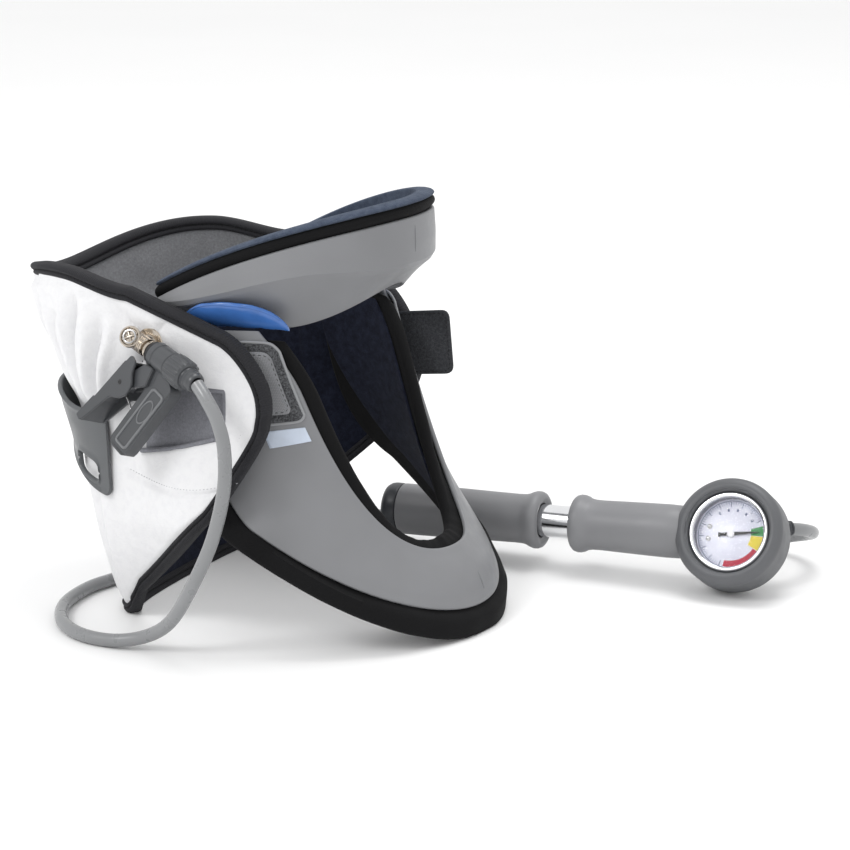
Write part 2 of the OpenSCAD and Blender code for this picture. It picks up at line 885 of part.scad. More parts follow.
module dial_plate() {
    color("#dfe2ee")
    at_gauge()
    translate([0, 0, 4])
    difference() {
        cylinder(r = case_r - 1.3, h = 0.8, $fn = 72);
        translate([0, 0, -1])
        cylinder(r = 1.4, h = 3);
        for (a = [165, 195])
            rotate([0, 0, a])
            translate([12, 0, -1])
            cylinder(r = 0.65, h = 3);
    }
}

module dial_screws() {
    color("#c8c9cb")
    at_gauge()
    for (a = [165, 195])
        rotate([0, 0, a])
        translate([12, 0, 1.5])
        union() {
            cylinder(r = 0.6, h = 3.4);
            translate([0, 0, 3.35])
            cylinder(r = 1.3, h = 0.6);
        }
}

// Points a little above the local +X at rest, the zero mark.
module gauge_needle() {
    color("#1c1c1e")
    at_gauge()
    rotate([0, 0, 8]) {
        translate([0, 0, 5.7])
        linear_extrude(height = 0.5)
        polygon([[-5, -0.9], [-5, 0.9], [14.5, 0.2], [14.5, -0.2]]);
        translate([0, 0, -2.8])
        cylinder(r = 0.8, h = 8.8);
        translate([0, 0, 5.5])
        cylinder(r = 1.9, h = 1.2);
    }
}

module gauge_bezel() {
    color("#d4d6da")
    at_gauge()
    translate([0, 0, boot_depth / 2 - 5.3])
    rotate_extrude($fn = 72)
    polygon([[case_r - 1, 0], [case_r + 1.2, 0], [case_r + 1.2, 1.8], [case_r + 0.2, 2.9],
             [case_r - 1.4, 2.2], [case_r - 1.4, 1.5], [case_r - 1, 1.5]]);
}

module gauge_lens() {
    color("#dfe8f0", 0.35)
    at_gauge()
    translate([0, 0, boot_depth / 2 - 5.2])
    cylinder(r = case_r - 1.1, h = 1.3, $fn = 72);
}

module hose_nipple() {
    color("#6b6e72")
    at_pump()
    rotate([0, 0, nipple_turn])
    difference() {
        union() {
            bar(2.8, case_r - 2.3, nipple_end);
            bar(4.6, nipple_end - 1.8, nipple_end);
        }
        bar(1.4, case_r - 5, nipple_end + 1);
    }
}

// ---------------------------------------------------------------- nodes

sternum_shell();
sternum_foam();
sternum_lining();
loop_patches();
hook_patch();
blank_label();
strap_tab();
chin_shell();
chin_foam();
chin_lining();
side_air_cell_left();
side_air_cell_right();
rear_air_cell();
rear_cover_lower();
rear_cover_upper();
nape_lining_lower();
nape_lining_upper();
rear_binding_lower();
rear_binding_upper();
rear_strap();
valve_stem();
valve_core();
chuck_body();
chuck_gasket();
chuck_lever();
lever_pin();
lever_spring();
hose_nut();
air_hose();
hose_nipple();
pump_barrel();
barrel_bush();
barrel_plug();
barrel_grip();
piston_rod();
piston_head();
piston_seal();
handle_sleeve();
handle_cap();
gauge_boot();
gauge_case();
gauge_movement();
dial_plate();
dial_screws();
gauge_needle();
gauge_bezel();
gauge_lens();
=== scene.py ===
"""Pneumatic cervical traction collar with its hand pump, in metres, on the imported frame."""
import math

import bmesh
import bpy
import numpy as np
from mathutils import Matrix, Vector


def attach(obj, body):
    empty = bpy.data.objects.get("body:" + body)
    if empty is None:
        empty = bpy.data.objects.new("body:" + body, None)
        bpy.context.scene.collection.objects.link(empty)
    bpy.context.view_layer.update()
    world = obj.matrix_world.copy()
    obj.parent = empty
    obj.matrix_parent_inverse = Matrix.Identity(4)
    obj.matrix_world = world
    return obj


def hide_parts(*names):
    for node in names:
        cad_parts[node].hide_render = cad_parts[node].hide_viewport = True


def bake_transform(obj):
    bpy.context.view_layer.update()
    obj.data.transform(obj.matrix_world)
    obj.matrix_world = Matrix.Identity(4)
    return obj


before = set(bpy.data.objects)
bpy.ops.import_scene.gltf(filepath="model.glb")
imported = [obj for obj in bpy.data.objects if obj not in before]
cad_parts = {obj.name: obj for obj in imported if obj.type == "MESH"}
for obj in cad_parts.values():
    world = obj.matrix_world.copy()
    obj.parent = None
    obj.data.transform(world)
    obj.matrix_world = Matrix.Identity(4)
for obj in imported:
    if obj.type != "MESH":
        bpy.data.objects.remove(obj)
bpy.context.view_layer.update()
MM = 0.001
LOWER = "lower_frame"
UPPER = "upper_frame"


def link_object(name, data):
    made = bpy.data.objects.new(name, data)
    bpy.context.scene.collection.objects.link(made)
    return made


# ---------------------------------------------------------------- camera

def make_camera():
    data = bpy.data.cameras.new("camera")
    data.lens = 110.1
    data.sensor_width = 36
    camera = link_object("camera", data)
    camera.location = (0.6383, -1.0774, 0.4443)
    camera.rotation_mode = "QUATERNION"
    aim = Vector((0.071, 0.036, 0.086)) - camera.location
    camera.rotation_quaternion = aim.to_track_quat("-Z", "Y")
    bpy.context.scene.camera = camera


make_camera()


# ---------------------------------------------------------------- number helpers

def vec(*parts):
    return np.stack(np.broadcast_arrays(*[np.asarray(p, float) for p in parts]), axis=-1)


def unit(v):
    return v / np.maximum(np.linalg.norm(v, axis=-1, keepdims=True), 1e-9)


def lerp(a, b, t):
    return a + (b - a) * t


def clamp01(t):
    return np.clip(t, 0.0, 1.0)


def smooth(t):
    c = clamp01(t)
    return c * c * (3 - 2 * c)


def bell(v, mid, half):
    q = clamp01(np.abs(np.asarray(v, float) - mid) / half)
    return (1 - q * q) ** 2


def bump(v, mid, width):
    return np.exp(-(((np.asarray(v, float) - mid) / width) ** 2))


def side(w):
    return np.where(np.asarray(w) < 0, -1.0, 1.0)


def ripple(a, b, seed, size):
    """Smooth irregular waves of about that size over the (a, b) plane, from -1 to 1."""
    rng = np.random.default_rng(seed)
    total = 0.0
    for _ in range(9):
        turn = rng.uniform(0, math.pi)
        wave = size * rng.uniform(0.6, 1.8)
        along = a * math.cos(turn) + b * math.sin(turn)
        total = total + np.sin(2 * math.pi * along / wave + rng.uniform(0, 6.3))
    return total / 4.5


def soften(grid, passes):
    """Evens out a grid along its first axis."""
    for _ in range(passes):
        grid[1:-1] = 0.25 * grid[:-2] + 0.5 * grid[1:-1] + 0.25 * grid[2:]
    return grid


def catmull(points, steps):
    """A smooth line through the points."""
    p = np.asarray(points, float)
    p = np.vstack([p[0], p, p[-1]])
    t = (np.arange(steps) / steps)[:, None]
    out = []
    for i in range(1, len(p) - 2):
        a, b, c, d = p[i - 1], p[i], p[i + 1], p[i + 2]
        out.append(0.5 * (2 * b + (c - a) * t + (2 * a - 5 * b + 4 * c - d) * t * t
                          + (3 * b - a - 3 * c + d) * t ** 3))
    return np.vstack(out + [p[-1:]])


# ---------------------------------------------------------------- materials

class Nodes:
    """A short way to write a material's node tree."""

    def __init__(self, name):
        self.material = bpy.data.materials.new(name)
        self.material.use_nodes = True
        self.tree = self.material.node_tree
        self.shader = self.tree.nodes["Principled BSDF"]
        self.place = self.tree.nodes.new("ShaderNodeTexCoord").outputs

    def node(self, kind, inputs=None, **settings):
        made = self.tree.nodes.new(kind)
        for key, value in settings.items():
            setattr(made, key, value)
        for key, value in (inputs or {}).items():
            if isinstance(value, bpy.types.NodeSocket):
                self.tree.links.new(value, made.inputs[key])
            else:
                made.inputs[key].default_value = value
        return made

    def noise(self, scale, detail=3.0, rough=0.5):
        made = self.node("ShaderNodeTexNoise", {"Vector": self.place["Object"], "Scale": scale,
                                                "Detail": detail, "Roughness": rough})
        return made.outputs["Fac"]

    def cells(self, scale, feature="F1"):
        made = self.node("ShaderNodeTexVoronoi", {"Vector": self.place["Object"], "Scale": scale},
                         feature=feature)
        return made.outputs["Distance"]

    def wave(self, scale, direction, distortion=0.0):
        made = self.node("ShaderNodeTexWave", {"Vector": self.place["UV"], "Scale": scale,
                                               "Distortion": distortion, "Detail": 1.0},
                         bands_direction=direction)
        return made.outputs["Fac"]

    def product(self, a, b):
        return self.node("ShaderNodeMath", {0: a, 1: b}, operation="MULTIPLY").outputs[0]

    def ramp(self, fac, low, high, dark, light):
        made = self.node("ShaderNodeMapRange", {"Value": fac, "From Min": low, "From Max": high,
                                                "To Min": dark, "To Max": light})
        return made.outputs["Result"]

    def relief(self, height, strength, distance, under=None):
        inputs = {"Height": height, "Strength": strength, "Distance": distance}
        if under is not None:
            inputs["Normal"] = under
        return self.node("ShaderNodeBump", inputs).outputs["Normal"]

    def set(self, **values):
        for key, value in values.items():
            socket = self.shader.inputs[key.replace("_", " ")]
            if isinstance(value, bpy.types.NodeSocket):
                self.tree.links.new(value, socket)
            else:
                socket.default_value = value
        return self


def mix_colors(n, fac, a, b):
    """Blends colour a to colour b by fac; the Mix node's color sockets are 6, 7 and 2."""
    made = n.tree.nodes.new("ShaderNodeMix")
    made.data_type = "RGBA"
    n.tree.links.new(fac, made.inputs[0])
    made.inputs[6].default_value = (*a, 1)
    made.inputs[7].default_value = (*b, 1)
    return made.outputs[2]


def shade(color, k):
    return tuple(min(1.0, c * k) for c in color)


def two_tone(n, fac, low, high, a, b):
    """Base colour that runs from a to b as fac runs from low to high."""
    n.set(Base_Color=mix_colors(n, n.ramp(fac, low, high, 0.0, 1.0), a, b))


def plastic(name, color, rough=0.42, grain=2600, depth=0.00006, coat=0.0):
    """Moulded plastic: spark-eroded grain, faint flow marks and slightly uneven gloss."""
    n = Nodes(name)
    flow = n.noise(28, 2.0)
    fine = n.noise(grain, 2.0, 0.6)
    two_tone(n, flow, 0.3, 0.7, shade(color, 0.95), shade(color, 1.05))
    n.set(Roughness=n.ramp(n.noise(160, 3.0), 0.3, 0.7, rough - 0.05, rough + 0.06))
    n.set(Normal=n.relief(fine, 0.35, depth), Coat_Weight=coat, Coat_Roughness=0.25)
    return n.material


def foam(name, color):
    """Matt cellular foam with a fine knit skin."""
    n = Nodes(name)
    pores = n.cells(1500)
    fine = n.noise(4200, 3.0, 0.7)
    two_tone(n, fine, 0.35, 0.7, shade(color, 0.7), shade(color, 1.6))
    n.set(Roughness=0.86, Normal=n.relief(fine, 0.5, 0.0002, n.relief(pores, 0.35, 0.0002)))
    n.set(Sheen_Weight=0.02, Sheen_Roughness=0.6, Specular_IOR_Level=0.12)
    return n.material


def cloth(name, color, light, pile=2600, sheen=0.35, mottle=260):
    """Brushed knit or short velour: soft clumps, fine fibres and a light nap."""
    n = Nodes(name)
    clumps = n.noise(mottle, 4.0, 0.65)
    fibre = n.noise(pile, 4.0, 0.75)
    both = n.product(clumps, fibre)
    two_tone(n, both, 0.15, 0.38, color, light)
    n.set(Roughness=0.9, Normal=n.relief(fibre, 0.7, 0.00035, n.relief(clumps, 0.25, 0.0006)))
    n.set(Sheen_Weight=sheen, Sheen_Roughness=0.45, Specular_IOR_Level=0.1)
    return n.material


def woven(name, color, light, pitch):
    """Woven tape: crossed threads a pitch apart, in millimetres of surface."""
    n = Nodes(name)
    scale = math.pi / (10 * pitch)
    across = n.wave(scale, "X")
    along = n.wave(scale, "Y")
    weave = n.product(across, along)
    fuzz = n.noise(3000, 3.0, 0.7)
    two_tone(n, weave, 0.05, 0.6, color, light)
    n.set(Roughness=0.8, Normal=n.relief(weave, 0.8, 0.0004, n.relief(fuzz, 0.3, 0.0002)))
    n.set(Sheen_Weight=0.05, Specular_IOR_Level=0.15)
    return n.material


def ribbed(name, color, light, pitch):
    """Folded elastic binding: fine ribs across the tape over a knit ground."""
    n = Nodes(name)
    ribs = n.wave(math.pi / (10 * pitch), "X", distortion=0.6)
    fuzz = n.noise(3600, 3.0, 0.75)
    two_tone(n, fuzz, 0.35, 0.65, color, light)
    n.set(Roughness=0.82, Normal=n.relief(ribs, 0.45, 0.00035, n.relief(fuzz, 0.45, 0.0002)))
    n.set(Sheen_Weight=0.04, Sheen_Roughness=0.5, Specular_IOR_Level=0.15)
    return n.material


def leatherette(name, color, dark):
    """Soft coated cloth: pebbled grain, fine creases, and painted shade that darkens the colour in the
    creases' hollows.
    """
    n = Nodes(name)
    pebble = n.cells(1300, "SMOOTH_F1")
    crease = n.noise(240, 5.0, 0.6)
    # Painted shade: where the crease relief is low, in its hollows, the colour turns from color to the
    # darker dark.
    two_tone(n, crease, 0.32, 0.55, dark, color)
    n.set(Roughness=n.ramp(crease, 0.3, 0.7, 0.5, 0.38))
    n.set(Normal=n.relief(pebble, 0.35, 0.00025, n.relief(crease, 0.3, 0.0012)))
    n.set(Sheen_Weight=0.05, Specular_IOR_Level=0.3)
    return n.material


def metal(name, color, rough, grain=900):
    """Plated or drawn metal with fine handling marks."""
    n = Nodes(name)
    marks = n.noise(grain, 4.0, 0.7)
    two_tone(n, n.noise(60, 2.0), 0.3, 0.7, shade(color, 0.9), color)
    n.set(Metallic=1.0, Roughness=n.ramp(marks, 0.3, 0.7, rough * 0.7, rough * 1.5))
    n.set(Normal=n.relief(marks, 0.12, 0.00004))
    return n.material


def film(name, color, rough=0.22):
    """Welded soft film: glossy, slightly wavy, with a lighter skin."""
    n = Nodes(name)
    waves = n.noise(90, 3.0)
    two_tone(n, waves, 0.35, 0.7, color, shade(color, 1.25))
    n.set(Roughness=rough, Normal=n.relief(waves, 0.25, 0.0008))
    n.set(Coat_Weight=0.25, Coat_Roughness=0.12)
    return n.material


def glass(name):
    """Clear lens with faint smears."""
    n = Nodes(name)
    smear = n.noise(70, 3.0)
    n.set(Base_Color=(1, 1, 1, 1), Roughness=n.ramp(smear, 0.4, 0.8, 0.0, 0.03), IOR=1.12)
    n.set(Transmission_Weight=1.0, Alpha=0.35)
    return n.material


M = {
    "shell": plastic("moulded_shell", (0.195, 0.198, 0.207), 0.42),
    "foam": foam("black_foam", (0.006, 0.006, 0.0065)),
    "navy": cloth("navy_knit", (0.008, 0.009, 0.017), (0.020, 0.024, 0.042), 2300, 0.04),
    "chin_navy": cloth("navy_chin_pad", (0.040, 0.052, 0.080), (0.078, 0.098, 0.138), 2100, 0.06),
    "loop": cloth("loop_pile", (0.020, 0.020, 0.022), (0.150, 0.154, 0.162), 1500, 0.05, 1200),
    "loop_rim": plastic("patch_rim", (0.27, 0.275, 0.285), 0.5),
    "hook": woven("hook_tape", (0.24, 0.244, 0.256), (0.34, 0.345, 0.36), 0.8),
    "label": film("blank_label_film", (0.50, 0.56, 0.66), 0.3),
    "tab": cloth("fastening_tab", (0.034, 0.035, 0.039), (0.072, 0.075, 0.082), 1800, 0.05, 900),
    "cell": film("blue_air_cell", (0.040, 0.125, 0.37)),
    # The second colour is painted shade for the hollows of the creases.
    "white": leatherette("white_leatherette", (0.735, 0.735, 0.745), (0.70, 0.70, 0.715)),
    "velour": cloth("grey_velour", (0.145, 0.147, 0.155), (0.225, 0.229, 0.240), 3000, 0.06, 900),
    "window": cloth("window_velour", (0.170, 0.173, 0.193), (0.245, 0.249, 0.272), 3000, 0.06, 900),
    "binding": ribbed("binding_tape", (0.013, 0.013, 0.015), (0.030, 0.030, 0.034), 1.1),
    "thread": plastic("thread", (0.010, 0.010, 0.011), 0.8),
    "white_thread": plastic("white_thread", (0.42, 0.42, 0.44), 0.6),
    "strap": plastic("strap_plastic", (0.088, 0.093, 0.098), 0.36, 2200, 0.00008),
    "nickel": metal("nickel_plate", (0.56, 0.50, 0.43), 0.14),
    "chuck": plastic("chuck_plastic", (0.056, 0.059, 0.064), 0.36),
    # Painted highlight: a lighter grey for the handle's raised rim and its oval, standing in for light
    # caught on their edges.
    "chuck_edge_highlight": plastic("chuck_raised_edge_painted_highlight", (0.150, 0.155, 0.162), 0.34),
    "rubber": plastic("black_rubber", (0.010, 0.010, 0.011), 0.6),
    "steel": metal("drawn_steel", (0.60, 0.60, 0.61), 0.24),
    "hose": plastic("hose_skin", (0.215, 0.220, 0.226), 0.30, 1200, 0.00005, 0.25),
    "black": plastic("black_plastic", (0.014, 0.014, 0.015), 0.4),
    "tube": metal("bright_tube", (0.86, 0.865, 0.88), 0.10, 600),
    "grip": plastic("grip_skin", (0.205, 0.207, 0.216), 0.45),
    "cap": plastic("cap_plastic", (0.040, 0.043, 0.049), 0.4),
    "boot": plastic("boot_skin", (0.098, 0.101, 0.108), 0.46),
    "case": metal("pressed_case", (0.50, 0.50, 0.52), 0.3),
    "brass": metal("movement_brass", (0.60, 0.45, 0.18), 0.25),
    "dial": film("dial_enamel", (0.70, 0.71, 0.82), 0.35),
    "chrome": metal("bezel_chrome", (0.86, 0.86, 0.88), 0.07),
    "needle": plastic("needle_paint", (0.010, 0.010, 0.011), 0.35),
    "glass": glass("lens_glass"),
    "ink": plastic("dial_ink", (0.13, 0.16, 0.28), 0.45),
    "green": plastic("dial_green", (0.05, 0.30, 0.09), 0.45),
    "yellow": plastic("dial_yellow", (0.75, 0.60, 0.05), 0.45),
    "red": plastic("dial_red", (0.45, 0.015, 0.045), 0.45),
    "pearl": film("white_hub", (0.75, 0.75, 0.78), 0.3),
}


# ---------------------------------------------------------------- mesh helpers

def round_shading(mesh, sharp):
    """Smooth shading, with edges steeper than sharp degrees kept crisp."""
    mesh.shade_smooth()
    mesh.set_sharp_from_angle(angle=math.radians(sharp))


def make_object(name, verts, faces, material, uv=None, sharp=38):
    """A piece from points in millimetres; uv gives millimetres along the surface."""
    mesh = bpy.data.meshes.new(name)
    mesh.from_pydata((np.asarray(verts, float).reshape(-1, 3) * MM).tolist(), [], faces)
    if uv is not None:
        layer = mesh.uv_layers.new(name="surface")
        corner = np.zeros(len(mesh.loops), np.int32)
        mesh.loops.foreach_get("vertex_index", corner)
        layer.data.foreach_set("uv", np.asarray(uv, float).reshape(-1, 2)[corner].ravel())
    bm = bmesh.new()
    bm.from_mesh(mesh)
    bmesh.ops.recalc_face_normals(bm, faces=bm.faces)
    bm.to_mesh(mesh)
    bm.free()
    mesh.materials.append(material)
    round_shading(mesh, sharp)
    return link_object(name, mesh)


def loft(name, loops, material, closed=False, sharp=38):
    """A skin over a row of closed loops of points, with flat ends unless the row itself closes."""
    loops = np.asarray(loops, float)
    n, m = loops.shape[:2]
    faces = []
    for i in range(n if closed else n - 1):
        a, b = i * m, ((i + 1) % n) * m
        faces += [(a + j, a + (j + 1) % m, b + (j + 1) % m, b + j) for j in range(m)]
    if not closed:
        faces += [tuple(range(m - 1, -1, -1)), tuple(range((n - 1) * m, n * m))]
    step_u = np.linalg.norm(np.diff(loops.mean(axis=1), axis=0), axis=-1)
    step_v = np.linalg.norm(np.diff(loops, axis=1), axis=-1)
    u = np.concatenate([[0], np.cumsum(step_u)])[:, None] + np.zeros((1, m))
    v = np.concatenate([np.zeros((n, 1)), np.cumsum(step_v, axis=1)], axis=1)
    return make_object(name, loops, faces, material, np.stack([u, v], axis=-1), sharp)


def put(made, body, nodes=()):
    """Puts a finished piece on its body and hides the CAD parts that it replaces."""
    if body:
        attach(made, body)
    if nodes:
        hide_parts(*nodes)
    return made


def rise(made, nodes=()):
    """Fabric baked in place in world space and put on no body, with the CAD parts it replaces hidden.
    """
    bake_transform(made)
    return put(made, None, nodes)


def join(name, parts):
    """One piece from several meshes, keeping their materials."""
    bm = bmesh.new()
    mats = []
    for part in parts:
        for face in part.data.polygons:
            face.material_index += len(mats)
        mats += list(part.data.materials)
        bm.from_mesh(part.data)
    mesh = bpy.data.meshes.new(name)
    bm.to_mesh(mesh)
    bm.free()
    for m in mats:
        mesh.materials.append(m)
    made = link_object(name, mesh)
    for part in parts:
        bpy.data.objects.remove(part)
    return made


def tube(name, line, radius, material, around=14, ends=True):
    """A round bar along a line of points; radius may vary along it, and ends rounds its tips."""
    line = np.asarray(line, float)
    radius = np.broadcast_to(np.asarray(radius, float), (len(line),)).copy()
    ahead = unit(np.gradient(line, axis=0))
    ref = np.array([0, 0, 1.0]) if abs(ahead[0][2]) < 0.8 else np.array([0, 1.0, 0])
    loops = []
    turn = 2 * np.pi * np.arange(around) / around
    if ends:
        line = np.vstack([line[0] - ahead[0] * radius[0] * 0.35, line,
                          line[-1] + ahead[-1] * radius[-1] * 0.35])
        radius = np.concatenate([[radius[0] * 0.72], radius, [radius[-1] * 0.72]])
        ahead = np.vstack([ahead[0], ahead, ahead[-1]])
    for p, d, r in zip(line, ahead, radius):
        ref = unit(ref - d * np.dot(ref, d))
        other = np.cross(d, ref)
        loops.append(p + r * (np.cos(turn)[:, None] * ref + np.sin(turn)[:, None] * other))
    return loft(name, loops, material)


def frame_matrix(origin, *turns):
    """A local frame: origin in millimetres and turns in degrees about X, Y or Z, outermost first."""
    m = Matrix.Translation(Vector(origin))
    for axis, deg in turns:
        m = m @ Matrix.Rotation(math.radians(deg), 4, axis)
    return np.array(m)


def to_world(matrix, points):
    return np.asarray(points, float) @ matrix[:3, :3].T + matrix[:3, 3]


def turned(name, matrix, outline, material, axis="X", around=96, shape=None, sharp=32):
    """A turned piece: outline points are [place along the axis, radius], joined round the section.
    shape(outline, angle) gives the radii where they change round the piece."""
    outline = np.asarray(outline, float)
    turn = 2 * np.pi * np.arange(around) / around
    loops = []
    for a in turn:
        r = outline[:, 1] if shape is None else shape(outline, a)
        c, s = math.cos(a), math.sin(a)
        if axis == "X":
            loops.append(vec(outline[:, 0], r * c, r * s))
        else:
            loops.append(vec(r * c, r * s, outline[:, 0]))
    return loft(name, to_world(matrix, np.array(loops)), material, closed=True, sharp=sharp)


def prism(name, matrix, outline, y0, y1, material, bevel=0.6):
    """A plate with rounded edges: the outline is in local X and Z and its thickness along Y."""
    bm = bmesh.new()
    low = [bm.verts.new((x, y0, z)) for x, z in outline]
    high = [bm.verts.new((x, y1, z)) for x, z in outline]
    m = len(outline)
    bm.faces.new(low)
    bm.faces.new(high[::-1])
    for i in range(m):
        bm.faces.new((low[i], high[i], high[(i + 1) % m], low[(i + 1) % m]))
    bmesh.ops.recalc_face_normals(bm, faces=bm.faces)
    bmesh.ops.bevel(bm, geom=list(bm.edges), offset=bevel, segments=3, affect="EDGES",
                    clamp_overlap=True)
    mesh = bpy.data.meshes.new(name)
    bm.to_mesh(mesh)
    bm.free()
    mesh.transform(Matrix(matrix.tolist()))
    mesh.transform(Matrix.Scale(MM, 4))
    mesh.materials.append(material)
    round_shading(mesh, 50)
    return link_object(name, mesh)


def stitch_row(name, line, pitch, length, radius, material):
    """Short thread stitches laid along a line of points: six-sided, with tapered tips."""
    line = np.asarray(line, float)
    run = np.concatenate([[0], np.cumsum(np.linalg.norm(np.diff(line, axis=0), axis=1))])
    verts, faces = [], []
    for at in np.arange(pitch / 2, run[-1], pitch):
        a, b = [np.array([np.interp(at + d, run, line[:, k]) for k in range(3)])
                for d in (-length / 2, length / 2)]
        d = unit(b - a)
        e = unit(np.cross(d, [0.3, 0.2, 1.0]))
        f = np.cross(d, e)
        base = len(verts)
        for p, r in ((a, 0.3), (lerp(a, b, 0.25), 1.0), (lerp(a, b, 0.75), 1.0), (b, 0.3)):
            verts += [p + r * radius * (math.cos(q) * e + math.sin(q) * f)
                      for q in (0, 1.05, 2.09, 3.14, 4.19, 5.24)]
        for k in range(3):
            faces += [(base + 6 * k + j, base + 6 * k + (j + 1) % 6,
                       base + 6 * k + 6 + (j + 1) % 6, base + 6 * k + 6 + j) for j in range(6)]
        faces += [tuple(base + j for j in range(5, -1, -1)), tuple(base + 18 + j for j in range(6))]
    return make_object(name, verts, faces, material, sharp=70)


# ---------------------------------------------------------------- air hose

HOSE_D = 6.5  # mm
HOSE_ROUTE = [
    (21.2, -97.3, 133), (28, -100, 127), (34, -101, 118), (38, -102, 105), (38.5, -104, 86),
    (33, -106, 62), (22, -107, 38), (9, -106, 18), (-6, -105, 7.6), (-23, -108, 3.7),
    (-42, -107, 3.4), (-60, -96, 3.4), (-73, -75, 3.4), (-76, -50, 3.4), (-71, -28, 3.4),
    (-68, 0, 3.4), (-67, 30, 3.4), (-64, 62, 3.4), (-50, 92, 3.4), (-22, 112, 3.4),
    (20, 128, 3.4), (70, 138, 3.4), (125, 149, 3.4), (160, 158, 3.4), (188, 166, 4.2),
    (208, 169.6, 7), (221.3, 168.4, 11), (232.3, 160.7, 16), (238, 148.5, 21.5),
    (236.8, 135.5, 26.5), (231.1, 125.9, 28.9),
]


def build_hose():
    line = catmull(HOSE_ROUTE, 8)
    hose = tube("air_hose_skin", line, HOSE_D / 2, M["hose"], around=24, ends=False)
    put(hose, LOWER, ["air_hose"])
    length = float(np.linalg.norm(np.diff(line, axis=0), axis=1).sum()) * MM
    return length


hose_length = build_hose()


# ---------------------------------------------------------------- sternum half

ARM_SHARE = 0.7     # w runs from -1 to 1 round the half, and beyond this share it is an arm
FLOOR_GAP = 0.4     # mm, the least height of the foam over the floor


def throat_edge(w):
    u = np.abs(w)
    deg = np.radians(67 * u)
    return vec(107 * np.cos(deg), side(w) * 62 * np.sin(deg), 41 + 110 * u ** 3.2)


def flange_edge(w):
    u, s = np.abs(w), side(w)
    share = np.minimum(u, ARM_SHARE) / ARM_SHARE
    deg = np.radians(72 * share)
    low = vec(123 * np.cos(deg), s * 86 * np.sin(deg), 13 + 48 * share ** 2.1)
    a = vec(123 * math.cos(math.radians(72)), s * 86 * math.sin(math.radians(72)), 61.0)
    b = a + vec(-20.0, -2 * s, 14.0)
    c = vec(-5.0, 66 * s, 118.0)
    d = vec(-4.0, 69 * s, 149.0)
    t = clamp01((u - ARM_SHARE) / (1 - ARM_SHARE))[..., None]
    arm = (1 - t) ** 3 * a + 3 * t * (1 - t) ** 2 * b + 3 * t * t * (1 - t) * c + t ** 3 * d
    return np.where((u <= ARM_SHARE)[..., None], low, arm)


def sternum_raw(w, t):
    p = lerp(throat_edge(w), flange_edge(w), t[..., None])
    crown = unit(vec(p[..., 0], 1.8 * p[..., 1], 40.0))
    return p + (12 * t * (1 - t))[..., None] * crown


def sternum_at(w, t, off):
    w, t, off = np.broadcast_arrays(np.asarray(w, float), np.asarray(t, float), np.asarray(off, float))
    e = 0.01
    c = np.clip(w, e - 1, 1 - e)
    a = sternum_raw(c + e, t) - sternum_raw(c - e, t)
    b = sternum_raw(w, t + e) - sternum_raw(w, t - e)
    return sternum_raw(w, t) + off[..., None] * unit(np.cross(b, a))


def ruling(w):
    return np.linalg.norm(flange_edge(w) - throat_edge(w), axis=-1)


def arm_corner(w):
    return 0.2 * clamp01((np.abs(w) - 0.9) / 0.1) ** 2


def sternum_span(w, before, after):
    fade = 1 - smooth((np.abs(w) - 0.75) / 0.2)
    t0 = arm_corner(w) - before / ruling(w)
    return t0, 1 - arm_corner(w) + after * fade / ruling(w)


def rounded_section(n, nose, wall, top):
    """A closed section as (share across, depth in mm): flat outside, round edges, flat inside.
    nose is the share of the width that the rounding takes at each edge."""
    out = []
    for k in range(n + 1):
        out.append((lerp(nose, 1 - nose, k / n), 1.0))
    for k in range(1, 8):
        a = math.pi * k / 8
        out.append((1 - nose + nose * math.sin(a), math.cos(a)))
    for k in range(n + 1):
        out.append((lerp(1 - nose, nose, k / n), -1.0))
    for k in range(1, 8):
        a = math.pi * k / 8
        out.append((nose - nose * math.sin(a), -math.cos(a)))
    sec = np.array(out)
    return sec[:, 0], top - wall / 2 + sec[:, 1] * wall / 2


def sternum_layer(name, reach, before, after, top, wall, material, nose_mm, relief=None, across=16):
    """A curved layer with rounded edges all round; relief(w, t) is added to its outer face."""
    w = np.linspace(-reach, reach, 301)
    loops = []
    for x in w:
        x1 = np.array(x)
        t0, t1 = sternum_span(x1, before, after)
        width = max(float((t1 - t0) * ruling(x1)), 4.0)
        nose = min(0.3, nose_mm / width)
        share, off = rounded_section(across, nose, wall, top)
        outer = off > top - wall / 2
        near = clamp01((reach - abs(x)) * 260 / nose_mm)
        k = math.sqrt(max(0.02, 1 - (1 - near) ** 2))
        off = (top - wall / 2) + (off - top + wall / 2) * k
        t = lerp(t0, t1, share)
        if relief is not None:
            off = off + relief(x, t, t0, t1) * outer * k
        loop = sternum_at(np.full_like(t, x), t, off)
        loops.append(vec(loop[:, 0], loop[:, 1], np.maximum(loop[:, 2], FLOOR_GAP)))
    return loft(name, soften(np.array(loops), 3), material, sharp=60)


def shell_relief(w, t, t0, t1):
    """A soft rolled lip along both edges of the moulded shell."""
    from_edge = np.minimum((t - t0), (t1 - t)) * ruling(np.array(w))
    return 0.35 * np.exp(-(from_edge / 2.2) ** 2) - 0.18 * np.exp(-((from_edge - 4.2) / 1.4) ** 2)


def foam_relief(w, t, t0, t1):
    """The free edge of the foam swells out past the shell."""
    past = (t - 1) * ruling(np.array(w))
    swell = 6.2 * smooth((past - 0.6) / 3.0) * (1 - smooth((abs(w) - 0.78) / 0.16))
    return swell + 0.35 * ripple(w * 260, t * ruling(np.array(w)), 11, 34)


def lining_relief(w, t, t0, t1):
    """Soft waves of the knit."""
    return 0.25 * ripple(w * 260, t * ruling(np.array(w)), 12, 26)


def mark_radius(n):
    """The fine moulding marks are thickest in their middle."""
    return 0.45 * np.sin(np.linspace(0.35, 2.8, n))


